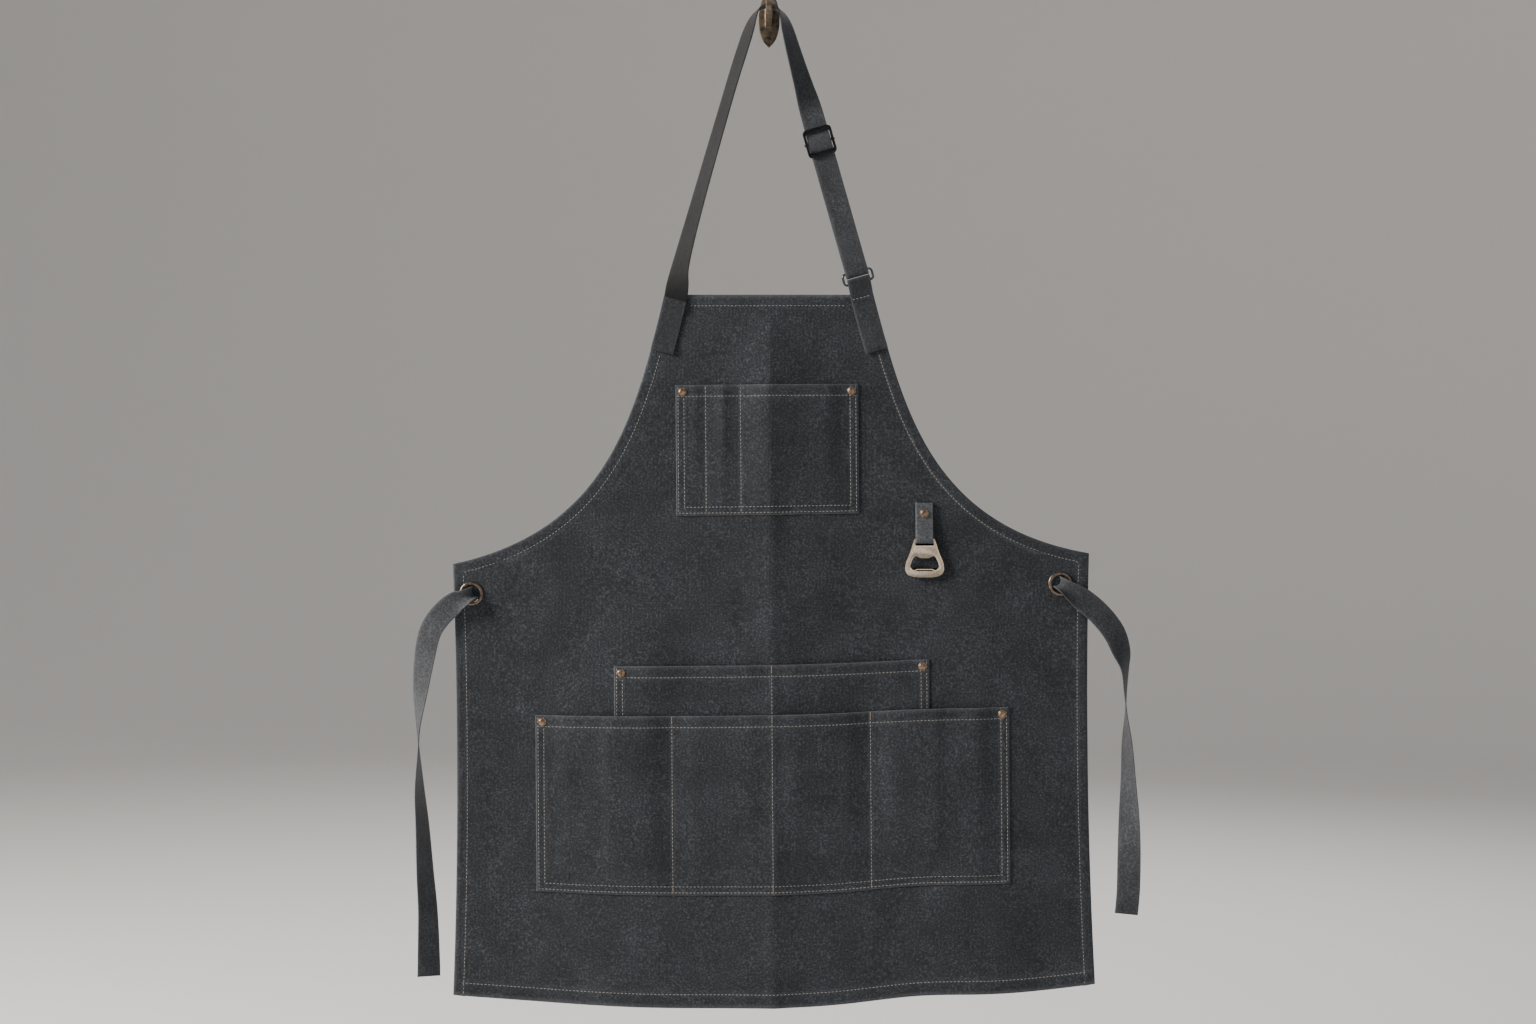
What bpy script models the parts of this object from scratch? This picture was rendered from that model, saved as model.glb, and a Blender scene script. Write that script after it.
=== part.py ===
"""A bib apron of dark canvas hanging by its neck strap on a cast wall hook.

Metres, +Z up. The wall is the plane y = 0 and the room is on the -Y side. The origin is the centre
of the hook plate's back face. The apron is drawn as a flat pattern, u across and v down from the
bib's top edge, and hang() gives each point of the pattern its place on the hanging cloth.
"""
from math import atan2, cos, exp, pi, sin

import bmesh
import bpy
from mathutils import Matrix, Vector

# Clearances
GAP = 0.0003                  # between two hard pieces that touch
LAYER_GAP = 0.0005            # between two layers of draped cloth
SEAM_RELIEF = 0.0010          # strap end above the line on which the bib folds
HOLE_CLEARANCE = 0.0004       # around a rivet shank or an eyelet barrel

# Cloth and webbing
CLOTH = 0.0012
WEBBING = 0.0014
STRAP_WIDTH = 0.0250
TIE_WIDTH = 0.0250

# Apron pattern
BIB_TOP_Z = -0.300
BIB_HALF = 0.1128
CORNER_HALF = 0.3435
CORNER_DROP = 0.2855
HEM_HALF = 0.3460
APRON_LENGTH = 0.7500
SIDE_NIP = 0.0045
ARMHOLE_START_PULL = 0.140    # length of the curve's handle at the bib
ARMHOLE_START_ANGLE = 14 * pi / 180
ARMHOLE_END_PULL = 0.170      # length of the curve's handle at the corner
ARMHOLE_END_ANGLE = 12 * pi / 180

# How the cloth hangs
WALL_GAP = 0.0125             # bib mid-surface to wall
HEM_STAND_OFF = 0.0075        # extra distance of the hem from the wall
HANG_TILT = 0.0170            # the right side hangs a little higher
HANG_LEAN = 0.0075            # and the hem a little to the right
HEM_SAG = 0.0195
SIDE_LIFT = 0.0060
SIDE_LIFT_U = 0.160
SIDE_LIFT_SPREAD = 0.070
CREASE_HEIGHT = 0.0040        # the pressed crease down the middle
CREASE_SPREAD = 0.045
FOLDS = (                     # soft upright folds: place across, height, spread
    (-0.150, 0.0030, 0.060),
    (-0.262, -0.0025, 0.055),
    (0.215, 0.0028, 0.065),
    (0.120, -0.0015, 0.050),
)

# Pockets on the pattern
CHEST_LEFT, CHEST_RIGHT, CHEST_TOP, CHEST_BOTTOM = -0.1015, 0.0956, 0.0972, 0.2360
UPPER_HALF, UPPER_TOP, UPPER_BOTTOM = 0.1698, 0.3945, 0.5900
LOWER_HALF, LOWER_TOP, LOWER_BOTTOM = 0.2553, 0.4468, 0.6335
CHEST_DIVIDERS = (-0.0693, -0.0316)
LOWER_DIVIDERS = (-0.1080, 0.0, 0.1060)
CHEST_BULGE = 0.0070
UPPER_BULGE = 0.0070
LOWER_BULGE = 0.0072
STEP_MARGIN = 0.0040          # the lower pocket passes this far beyond the upper one
STEP_RISE = 0.0140            # before it comes down to the panel in this distance
BULGE_MARGIN = 0.0020         # flat cloth along a divider
BULGE_RISE = 0.0100           # distance in which the cloth then lifts
EDGE_MARGIN = 0.0123          # flat cloth along a pocket's sides, under the rivets

# Rivets and eyelets
RIVET_INSET = 0.0072
RIVET_HEAD_RADIUS = 0.0046
RIVET_HEAD_HEIGHT = 0.0016
RIVET_SHANK_RADIUS = 0.0013
RIVET_BACK_RADIUS = 0.0042
RIVET_BACK_HEIGHT = 0.0012
EYELET_LEFT_INSET = 0.0187    # eyelet centre in from the side edge
EYELET_RIGHT_INSET = 0.0303
EYELET_DROP = 0.3172
EYELET_OUTER = 0.0130
EYELET_BORE = 0.0090
EYELET_WALL = 0.0006
EYELET_ROLL = 0.0013

# Strap anchors on the bib
ANCHOR_LENGTH = 0.0615
STRAP_INSET = STRAP_WIDTH / 2 + 0.0002    # strap centre in from the bib's side edge

# Hook
PLATE_WIDTH = 0.0236
PLATE_HEIGHT = 0.0620
PLATE_THICKNESS = 0.0042
PLATE_TIP = 0.0026
ARM_WIDTH = 0.0070
ARM_TOP_Z = 0.0096            # where the strap rests
ARM_ROOT_Z = -0.0090
ARM_REACH = 0.0550
ARM_TIP_Z = 0.0300
SCREW_SPACING = 0.0480
SCREW_HEAD_RADIUS = 0.0040
SCREW_SHANK_RADIUS = 0.0019
SCREW_HEAD_DEPTH = 0.0024
SCREW_LENGTH = 0.0200
SCREW_SLOT = 0.0011

# Neck strap, ring, slider
CROWN_Y = -0.0230
CROWN_RISE = 0.0146           # from where the strap's legs leave the prong to its top
CROWN_END_Z = ARM_TOP_Z + GAP + WEBBING / 2 - CROWN_RISE
RING_WIRE = 0.0026
RING_CLEARANCE = 0.0024       # beside the strap, inside the ring
RING_LENGTH = STRAP_WIDTH + 2 * RING_CLEARANCE + 2 * RING_WIRE
RING_HEIGHT = 0.0146
RING_CORNER = 0.0035
RING_RISE = 0.0190            # ring's centre above the bib's top edge
RING_SHIFT = 0.0039           # and in from the strap's seam there
TWIST_END = 0.386             # share of the way from the hook to the ring where the strap is flat
TWIST_END_Y = -0.0205
TAIL_PAST_BAR = 0.0030        # the doubled strap's end above the slider's bar
SLIDER_DOWN = 0.0260          # slider's bar below the top of the straight stretch
SLIDER_HEIGHT = 0.0310
SLIDER_SIDE = 0.0027
SLIDER_RAIL = 0.0047
SLIDER_DEPTH = 0.0020
SLIDER_CORNER = 0.0045
SLIDER_INNER_CORNER = 0.0022
SLIDER_CLEARANCE = 0.0006     # beside the strap
BAR_RADIUS = 0.0012
BAR_NUB = 0.0011
EAR_HEIGHT = 0.0060
EAR_INSET = 0.0002            # the ears stand in a little from the frame's sides
EAR_WALL = 0.0012             # behind the bar

# Opener and its tab
TAB_U = 0.1658
TAB_TOP = 0.2265
TAB_WIDTH = 0.0186
TAB_RIVET_DROP = 0.0115
OPENER_BAR_DROP = 0.0405      # opener's top bar below the tab's top edge
OPENER_THICKNESS = 0.0024
OPENER_BAR_HEIGHT = 0.0028
OPENER_SLOT = 0.0044          # clear height under the top bar
OPENER_BRIDGE = 0.0110
OPENER_HEIGHT = 0.0415
OPENER_SLOT_CLEARANCE = 0.0006
OPENER_NECK = 0.0017          # arm beside the slot
OPENER_TOP_HALF = TAB_WIDTH / 2 + OPENER_SLOT_CLEARANCE + OPENER_NECK
OPENER_HALF = 0.0209
OPENER_ARM = 0.0052           # arm beside the window
OPENER_BASE = 0.0081          # solid below the window

# Waist ties, from the eyelet down: x, y, z, turn of the webbing's face in degrees (0 looks at the
# room), and the share of its full width that it is gathered to
LEFT_TIE_ROUTE = (
    (-0.3214, -0.0139, -0.6233, 0, 0.64),
    (-0.3214, -0.0180, -0.6234, 0, 0.64),
    (-0.3222, -0.0205, -0.6238, 0, 0.66),
    (-0.3252, -0.0224, -0.6256, 0, 0.72),
    (-0.3310, -0.0226, -0.6288, 0, 0.86),
    (-0.3390, -0.0222, -0.6330, 0, 0.98),
    (-0.3540, -0.0215, -0.6470, 4, 1.00),
    (-0.3650, -0.0205, -0.6640, 10, 1.00),
    (-0.3710, -0.0195, -0.6890, 20, 1.00),
    (-0.3760, -0.0185, -0.7270, 43, 1.00),
    (-0.3785, -0.0180, -0.7650, 72, 1.00),
    (-0.3780, -0.0180, -0.7940, 84, 1.00),
    (-0.3770, -0.0180, -0.8350, 104, 1.00),
    (-0.3740, -0.0180, -0.8730, 115, 1.00),
    (-0.3710, -0.0180, -0.9240, 127, 1.00),
    (-0.3680, -0.0180, -0.9670, 137, 1.00),
    (-0.3670, -0.0180, -1.0180, 153, 1.00),
    (-0.3670, -0.0180, -1.0360, 160, 1.00),
)
RIGHT_TIE_ROUTE = (
    (0.3146, -0.0139, -0.6126, 0, 0.64),
    (0.3146, -0.0180, -0.6127, 0, 0.64),
    (0.3154, -0.0205, -0.6132, 0, 0.66),
    (0.3184, -0.0224, -0.6152, 0, 0.72),
    (0.3250, -0.0226, -0.6198, 0, 0.86),
    (0.3360, -0.0222, -0.6278, 0, 0.98),
    (0.3550, -0.0215, -0.6436, -3, 1.00),
    (0.3715, -0.0205, -0.6640, -10, 1.00),
    (0.3805, -0.0190, -0.6860, -32, 1.00),
    (0.3842, -0.0185, -0.7040, -62, 1.00),
    (0.3848, -0.0180, -0.7270, -75, 1.00),
    (0.3856, -0.0180, -0.7540, -86, 1.00),
    (0.3866, -0.0180, -0.7860, -107, 1.00),
    (0.3880, -0.0180, -0.8290, -122, 1.00),
    (0.3888, -0.0180, -0.8830, -152, 1.00),
    (0.3880, -0.0180, -0.9400, -176, 1.00),
    (0.3856, -0.0180, -0.9690, -180, 1.00),
)
KNOT_RADII = (0.0105, 0.0046, 0.0085)

# Mesh fineness
PANEL_COLUMNS = 26
ARMHOLE_ROWS = 10
SKIRT_ROWS = 9
POCKET_ROW_PITCH = 0.028
CHEST_PITCH = 0.0080
UPPER_PITCH = 0.0140
LOWER_PITCH = 0.0130

NAME = "apron_on_hook"


# Setting up

def clear_scene():
    for obj in list(bpy.data.objects):
        bpy.data.objects.remove(obj, do_unlink=True)


def make_collection(name):
    collection = bpy.data.collections.new(name)
    bpy.context.scene.collection.children.link(collection)
    return collection


def make_material(name, colour, roughness, metallic=0.0):
    material = bpy.data.materials.new(name)
    material.use_nodes = True
    shader = material.node_tree.nodes["Principled BSDF"]
    shader.inputs["Base Color"].default_value = (*colour, 1.0)
    shader.inputs["Roughness"].default_value = roughness
    shader.inputs["Metallic"].default_value = metallic
    return material


clear_scene()
PARTS = make_collection(NAME)
CUTTERS = make_collection("cutters")
CANVAS = make_material("waxed_canvas", (0.031, 0.034, 0.041), 0.85)
WEB = make_material("cotton_webbing", (0.057, 0.064, 0.072), 0.9)
COPPER = make_material("aged_copper", (0.45, 0.24, 0.12), 0.4, 1.0)
BRONZE = make_material("bronzed_brass", (0.36, 0.25, 0.16), 0.45, 1.0)
GUNMETAL = make_material("black_gunmetal", (0.03, 0.032, 0.036), 0.35, 1.0)
OPENER_METAL = make_material("champagne_nickel", (0.6, 0.47, 0.34), 0.35, 1.0)
HOOK_METAL = make_material("bronzed_iron", (0.13, 0.095, 0.07), 0.55, 1.0)


# Small helpers

def lerp(a, b, t):
    return a + (b - a) * t


def smooth(t):
    t = min(1.0, max(0.0, t))
    return t * t * (3 - 2 * t)


def bump(distance, spread):
    return exp(-(distance / spread) ** 2)


def smooth_path(keys, per_span):
    """Catmull-Rom curve through tuples of numbers, per_span points from each key to the next."""
    points = []
    last = len(keys) - 1
    for i in range(last):
        before, start, end, after = keys[max(i - 1, 0)], keys[i], keys[i + 1], keys[min(i + 2, last)]
        for step in range(per_span):
            t = step / per_span
            points.append(tuple(
                0.5 * (2 * b + (c - a) * t + (2 * a - 5 * b + 4 * c - d) * t * t
                       + (3 * b - a - 3 * c + d) * t ** 3)
                for a, b, c, d in zip(before, start, end, after)))
    points.append(tuple(keys[-1]))
    return points


def link(obj, material, collection=PARTS):
    for owner in list(obj.users_collection):
        owner.objects.unlink(obj)
    collection.objects.link(obj)
    if material:
        obj.data.materials.clear()
        obj.data.materials.append(material)
    return obj


def activate(obj):
    bpy.ops.object.select_all(action="DESELECT")
    obj.select_set(True)
    bpy.context.view_layer.objects.active = obj


def round_off(obj, angle=35 * pi / 180):
    obj.data.shade_smooth()
    obj.data.set_sharp_from_angle(angle=angle)


def cutter(obj):
    link(obj, None, CUTTERS)
    obj.hide_render = True
    obj.display_type = "WIRE"
    return obj


def cut(obj, tool):
    modifier = obj.modifiers.new("cut_" + tool.name, "BOOLEAN")
    modifier.object = tool
    modifier.operation = "DIFFERENCE"


def join(obj, tool):
    modifier = obj.modifiers.new("join_" + tool.name, "BOOLEAN")
    modifier.object = tool
    modifier.operation = "UNION"


def rod(name, centre, direction, radius, length, sides=16):
    bpy.ops.mesh.primitive_cylinder_add(vertices=sides, radius=radius, depth=length, location=centre)
    obj = bpy.context.object
    obj.name = name
    obj.rotation_mode = "QUATERNION"
    obj.rotation_quaternion = Vector(direction).to_track_quat("Z", "Y")
    return obj


def turned(name, profile, centre, material, sides=12):
    """A profile of (radius, height) from the front down, turned about an axis that looks at the room."""
    mesh = bpy.data.meshes.new(name)
    mesh.from_pydata([(r, 0.0, h) for r, h in profile],
                     [(i, i + 1) for i in range(len(profile) - 1)], [])
    obj = bpy.data.objects.new(name, mesh)
    link(obj, material)
    obj.location = centre
    obj.rotation_euler = (pi / 2, 0.0, 0.0)
    screw = obj.modifiers.new("turn", "SCREW")
    screw.axis = "Z"
    screw.steps = sides
    screw.render_steps = sides
    screw.use_merge_vertices = True
    screw.merge_threshold = 0.00001
    return obj


def outline(name, rings, half_depth, matrix, material):
    """A flat plate from closed outlines, the first outer and the others holes, as a welded mesh."""
    curve = bpy.data.curves.new(name, "CURVE")
    curve.dimensions = "2D"
    curve.fill_mode = "BOTH"
    curve.extrude = half_depth
    for ring in rings:
        spline = curve.splines.new("POLY")
        spline.points.add(len(ring) - 1)
        for point, (x, y) in zip(spline.points, ring):
            point.co = (x, y, 0.0, 1.0)
        spline.use_cyclic_u = True
    source = bpy.data.objects.new(name, curve)
    bpy.context.scene.collection.objects.link(source)
    source.matrix_world = matrix
    bpy.context.view_layer.update()
    mesh = bpy.data.meshes.new_from_object(source.evaluated_get(bpy.context.evaluated_depsgraph_get()))
    bm = bmesh.new()
    bm.from_mesh(mesh)
    bmesh.ops.remove_doubles(bm, verts=bm.verts, dist=0.00001)
    bmesh.ops.recalc_face_normals(bm, faces=bm.faces)
    bm.to_mesh(mesh)
    bm.free()
    bpy.data.objects.remove(source)
    obj = bpy.data.objects.new(name, mesh)
    obj.matrix_world = matrix
    return link(obj, material)


def rounded_rectangle(width, height, radius, steps=4):
    points = []
    corners = ((1, 1, 0), (-1, 1, 1), (-1, -1, 2), (1, -1, 3))
    for sx, sy, quarter in corners:
        for i in range(steps + 1):
            angle = (quarter + i / steps) * pi / 2
            points.append((sx * (width / 2 - radius) + radius * cos(angle),
                           sy * (height / 2 - radius) + radius * sin(angle)))
    return points


def sheet(name, columns, rows, place, thickness, material):
    """A grid shaped by place(s, t), s and t from 0 to 1, and given its thickness both ways."""
    bpy.ops.mesh.primitive_grid_add(x_subdivisions=columns, y_subdivisions=rows, size=1.0)
    obj = bpy.context.object
    obj.name = name
    for vertex in obj.data.vertices:
        s, t = vertex.co.x + 0.5, 0.5 - vertex.co.y
        vertex.co = place(s, t)
    link(obj, material)
    solidify = obj.modifiers.new("cloth", "SOLIDIFY")
    solidify.thickness = thickness
    solidify.offset = 0.0
    solidify.use_even_offset = True
    round_off(obj)
    return obj


def ribbon(name, stations, thickness, material):
    """Webbing swept through (centre, half-width vector) stations."""
    last = len(stations) - 1

    def place(s, t):
        centre, half = stations[round(t * last)]
        return centre + half * (2 * s - 1)

    return sheet(name, 2, last, place, thickness, material)


# The hanging cloth

def armhole(t):
    """Half width and drop along the armhole, from the bib's top to the corner."""
    start = Vector((BIB_HALF, 0.0))
    end = Vector((CORNER_HALF, CORNER_DROP))
    pull_start = start + ARMHOLE_START_PULL * Vector((sin(ARMHOLE_START_ANGLE), cos(ARMHOLE_START_ANGLE)))
    pull_end = end - ARMHOLE_END_PULL * Vector((cos(ARMHOLE_END_ANGLE), sin(ARMHOLE_END_ANGLE)))
    return ((1 - t) ** 3 * start + 3 * (1 - t) ** 2 * t * pull_start
            + 3 * (1 - t) * t * t * pull_end + t ** 3 * end)


def skirt_half(v):
    t = (v - CORNER_DROP) / (APRON_LENGTH - CORNER_DROP)
    return lerp(CORNER_HALF, HEM_HALF, t) - SIDE_NIP * 4 * t * (1 - t)


def half_width(v):
    if v >= CORNER_DROP:
        return skirt_half(v)
    low, high = 0.0, 1.0
    for _ in range(40):
        middle = (low + high) / 2
        if armhole(middle).y < v:
            low = middle
        else:
            high = middle
    return armhole(low).x


def stand_off(u, v):
    """Distance of the cloth's mid-surface from the wall."""
    down = v / APRON_LENGTH
    crease = CREASE_HEIGHT * exp(-abs(u) / CREASE_SPREAD) * smooth((v + 0.02) / 0.10)
    folds = sum(height * bump(u - across, spread) for across, height, spread in FOLDS)
    return WALL_GAP + HEM_STAND_OFF * down + crease + folds * smooth((v - 0.15) / 0.35)


def hang(u, v, out=0.0):
    """The place of pattern point (u, v), out in front of the cloth's mid-surface."""
    down = v / APRON_LENGTH
    tilt = HANG_TILT * min(1.0, v / CORNER_DROP)
    sag = HEM_SAG * down ** 2 * (1 - (u / HEM_HALF) ** 2)
    lift = SIDE_LIFT * down ** 2 * bump(u - SIDE_LIFT_U, SIDE_LIFT_SPREAD)
    return Vector((u + HANG_LEAN * v,
                   -stand_off(u, v) - out,
                   BIB_TOP_Z - v + tilt * u - sag + lift))


ON_PANEL = CLOTH / 2 + LAYER_GAP + CLOTH / 2       # mid-surface of cloth sewn on the panel
OVER_UPPER = CLOTH + LAYER_GAP                     # further out, over the upper pocket


def panel_point(s, t):
    rows = ARMHOLE_ROWS + SKIRT_ROWS
    row = round(t * rows)
    if row <= ARMHOLE_ROWS:
        half, v = armhole(row / ARMHOLE_ROWS)
    else:
        v = lerp(CORNER_DROP, APRON_LENGTH, (row - ARMHOLE_ROWS) / SKIRT_ROWS)
        half = skirt_half(v)
    return hang(half * (2 * s - 1), v)


def make_panel():
    return sheet("apron_panel", PANEL_COLUMNS, ARMHOLE_ROWS + SKIRT_ROWS, panel_point, CLOTH, CANVAS)


def lift_between(u, seams):
    """0 on the seams and 1 where the cloth between two seams is free to belly out."""
    for left, right in zip(seams, seams[1:]):
        if left <= u <= right:
            margin_left = EDGE_MARGIN if left == seams[0] else BULGE_MARGIN
            margin_right = EDGE_MARGIN if right == seams[-1] else BULGE_MARGIN
            free = min(u - left - margin_left, right - u - margin_right)
            return smooth(free / BULGE_RISE)
    return 0.0


def chest_seams():
    return (CHEST_LEFT, *CHEST_DIVIDERS, CHEST_RIGHT)


def chest_offset(u, v):
    down = (v - CHEST_TOP) / (CHEST_BOTTOM - CHEST_TOP)
    return ON_PANEL + CHEST_BULGE * lift_between(u, chest_seams()) * (1 - down * down)


def upper_seams():
    return (-UPPER_HALF, 0.0, UPPER_HALF)


def upper_offset(u, v):
    """The upper pocket bellies out above the lower pocket's mouth and lies flat behind it."""
    down = (v - UPPER_TOP) / (LOWER_TOP - UPPER_TOP)
    return ON_PANEL + UPPER_BULGE * lift_between(u, upper_seams()) * (1 - smooth(down * 0.95))


def lower_seams():
    return (-LOWER_HALF, *LOWER_DIVIDERS, LOWER_HALF)


def lower_offset(u, v):
    down = (v - LOWER_TOP) / (LOWER_BOTTOM - LOWER_TOP)
    aside = smooth((UPPER_HALF + STEP_MARGIN + STEP_RISE - abs(u)) / STEP_RISE)
    above = smooth((UPPER_BOTTOM + STEP_MARGIN + STEP_RISE - v) / STEP_RISE)
    base = ON_PANEL + OVER_UPPER * aside * above
    return base + LOWER_BULGE * lift_between(u, lower_seams()) * (1 - down * down)


def spread(stops, pitch):
    """Lines about a pitch apart that fall on every stop."""
    lines = [stops[0]]
    for start, end in zip(stops, stops[1:]):
        count = max(1, round((end - start) / pitch))
        lines += [lerp(start, end, (i + 1) / count) for i in range(count)]
    return lines


def pocket(name, seams, pitch, row_stops, offset):
    """Pocket cloth over the stand-off that offset(u, v) gives it; lines fall on seams and crease."""
    stops = {*seams, 0.0, seams[0] + EDGE_MARGIN, seams[-1] - EDGE_MARGIN}
    columns = spread(sorted(stops), pitch)
    rows = spread(row_stops, POCKET_ROW_PITCH)

    def place(s, t):
        u = columns[round(s * (len(columns) - 1))]
        v = rows[round(t * (len(rows) - 1))]
        return hang(u, v, offset(u, v))

    return sheet(name, len(columns) - 1, len(rows) - 1, place, CLOTH, CANVAS)


# Rivets and eyelets

def rivet(name, u, v, outer, cloths):
    """A headed rivet through cloths: outer is the height of the outermost cloth's mid-surface."""
    front = hang(u, v, outer + CLOTH / 2 + GAP)
    back = hang(u, v, -CLOTH / 2 - GAP)
    reach = back.y - front.y
    r, h = RIVET_HEAD_RADIUS, RIVET_HEAD_HEIGHT
    dome = [(r * sin(a), h * (0.35 + 0.65 * cos(a))) for a in (0.0, 0.6, 1.1, pi / 2)]
    profile = dome + [(r, 0.0), (RIVET_SHANK_RADIUS, 0.0), (RIVET_SHANK_RADIUS, -reach), (0.0, -reach)]
    head = turned("rivet_" + name, profile, front, COPPER)
    round_off(head)
    r, h = RIVET_BACK_RADIUS, RIVET_BACK_HEIGHT
    burr = [(0.0, -GAP), (r, -GAP), (r * 0.85, -h), (0.0, -h)]
    backing = turned("rivet_back_" + name, burr, back, COPPER)
    round_off(backing)
    middle = (front + back) / 2
    tool = cutter(rod("rivet_hole_" + name, middle, (0, 1, 0), RIVET_SHANK_RADIUS + HOLE_CLEARANCE, 0.03, 12))
    for cloth in cloths:
        cut(cloth, tool)


def pocket_rivets(name, left, right, top, offset, pocket_sheet, panel):
    v = top + RIVET_INSET
    for side, u in (("left", left + RIVET_INSET), ("right", right - RIVET_INSET)):
        rivet(f"{name}_{side}", u, v, offset(u, v), (pocket_sheet, panel))


def eyelet(side, u, v, panel):
    """Barrel with a rolled front flange, and the washer it is set against behind the cloth."""
    centre = hang(u, v, CLOTH / 2 + GAP)
    back = CLOTH + GAP
    bore, barrel = EYELET_BORE, EYELET_BORE + EYELET_WALL
    outer, roll = EYELET_OUTER, EYELET_ROLL
    middle = (bore + outer) / 2
    arch = [(middle + (outer - middle) * cos(a), roll * sin(a)) for a in (2.4, 1.57, 0.75, 0.0)]
    profile = [(bore, roll * 0.25)] + arch + [(barrel, 0.0), (barrel, -back - EYELET_WALL - 2 * GAP),
                                               (bore, -back - EYELET_WALL - 2 * GAP), (bore, roll * 0.25)]
    front = turned("eyelet_" + side, profile, centre, BRONZE, 20)
    round_off(front)
    inner = barrel + GAP
    washer = [(inner, -back - GAP), (outer * 0.96, -back - GAP), (outer * 0.96, -back - GAP - EYELET_WALL),
              (inner, -back - GAP - EYELET_WALL), (inner, -back - GAP)]
    ring = turned("eyelet_washer_" + side, washer, centre, BRONZE, 20)
    round_off(ring)
    tool = cutter(rod("eyelet_hole_" + side, centre, (0, 1, 0), barrel + HOLE_CLEARANCE, 0.03, 20))
    cut(panel, tool)


# Strap anchors

def anchor_stations(side):
    stations = []
    count = 4
    offset = CLOTH / 2 + LAYER_GAP + WEBBING / 2
    for i in range(count + 1):
        v = SEAM_RELIEF + (ANCHOR_LENGTH - SEAM_RELIEF) * i / count
        u = side * (half_width(v) - STRAP_INSET)
        slope = (half_width(ANCHOR_LENGTH) - half_width(0.0)) / ANCHOR_LENGTH
        across = Vector((1.0, 0.0, side * slope if i else 0.0)).normalized()
        width = STRAP_WIDTH / (1.0 if i else cos(atan2(slope, 1.0)))
        stations.append((hang(u, v, offset), across * width / 2))
    return stations


FOLD_LINE_Y = -(WALL_GAP + CLOTH / 2 + LAYER_GAP + WEBBING / 2)


def make_anchors():
    for side, label in ((-1, "left"), (1, "right")):
        ribbon("strap_anchor_" + label, anchor_stations(side), WEBBING, WEB)


# Neck strap

STRAP_FOLD = RING_WIRE / 2 + GAP + WEBBING / 2     # mid-surface radius of a fold round a wire
LEFT_SEAM = hang(-(half_width(0.0) - STRAP_INSET), 0.0)
RIGHT_SEAM = hang(half_width(0.0) - STRAP_INSET, 0.0)
CROWN = (                     # over the prong: x, height above the strap's ends there, turn
    (-0.0176, 0.0, 20),
    (-0.0125, 0.0090, 10),
    (-0.0065, 0.0134, 3),
    (0.0, CROWN_RISE, 0),
    (0.0065, 0.0134, 3),
    (0.0125, 0.0090, 12),
    (0.0170, 0.0, 24),
)
LEFT_LEG = (                  # from the hook down: share of the way, bow outwards, y, turn
    (0.04, 0.0009, -0.0228, 28),
    (0.10, 0.0017, -0.0226, 31),
    (0.20, 0.0028, -0.0220, 31),
    (0.31, 0.0034, -0.0212, 31),
    (0.47, 0.0040, -0.0200, 33),
    (0.64, 0.0044, -0.0185, 36),
    (0.80, 0.0044, -0.0168, 42),
    (0.91, 0.0036, -0.0154, 52),
)
RIGHT_LEG = (                 # from the hook to where the strap lies flat
    (0.11, 0.0001, -0.0228, 33),
    (0.28, -0.0002, -0.0224, 40),
    (0.49, -0.0002, -0.0218, 48),
    (0.70, 0.0, -0.0212, 60),
    (0.85, 0.0001, -0.0208, 76),
)
RING_CENTRE = Vector((RIGHT_SEAM.x - RING_SHIFT, FOLD_LINE_Y, BIB_TOP_Z + RING_RISE))
TWIST_POINT = Vector((CROWN[-1][0], 0.0, CROWN_END_Z)).lerp(RING_CENTRE, TWIST_END)
TWIST_POINT.y = TWIST_END_Y
LEG = (RING_CENTRE - Vector((0.0, STRAP_FOLD, 0.0)) - TWIST_POINT).normalized()
ACROSS = LEG.cross(Vector((0.0, 1.0, 0.0))).normalized()
FACE = -ACROSS.cross(LEG).normalized()
WIRE_DROP = (RING_HEIGHT - RING_WIRE) / 2
TOP_WIRE = RING_CENTRE - LEG * WIRE_DROP
BOTTOM_WIRE = RING_CENTRE + LEG * WIRE_DROP
STRAIGHT_TOP = TOP_WIRE + FACE * STRAP_FOLD - LEG * ((TOP_WIRE - TWIST_POINT).dot(LEG))
SLIDER_BAR = STRAIGHT_TOP + LEG * SLIDER_DOWN - FACE * STRAP_FOLD


def leg_keys(leg, start_x, end):
    """Keys down a leg of the strap: x, y, z and turn, where 90 is flat to the room and 0 edge on."""
    outwards = 1 if end.x > start_x else -1
    return [(lerp(start_x, end.x, share) + outwards * bow, y, lerp(CROWN_END_Z, end.z, share), turn)
            for share, bow, y, turn in leg]


def strap_keys(foot):
    """Keys from above the left seam, up, over the hook's prong and down to the straight stretch."""
    left = leg_keys(LEFT_LEG, CROWN[0][0], foot)
    crown = [(x, CROWN_Y, CROWN_END_Z + height, turn) for x, height, turn in CROWN]
    right = leg_keys(RIGHT_LEG, CROWN[-1][0], STRAIGHT_TOP)
    return left[::-1] + crown + right


def strap_half(tangent, turn, width):
    across = tangent.cross(Vector((0.0, 1.0, 0.0))).normalized()
    angle = turn * pi / 180
    return (Vector((0.0, 1.0, 0.0)) * cos(angle) + across * sin(angle)) * width / 2


def tangents(points):
    last = len(points) - 1
    return [(points[min(i + 1, last)] - points[max(i - 1, 0)]).normalized() for i in range(last + 1)]


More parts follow.
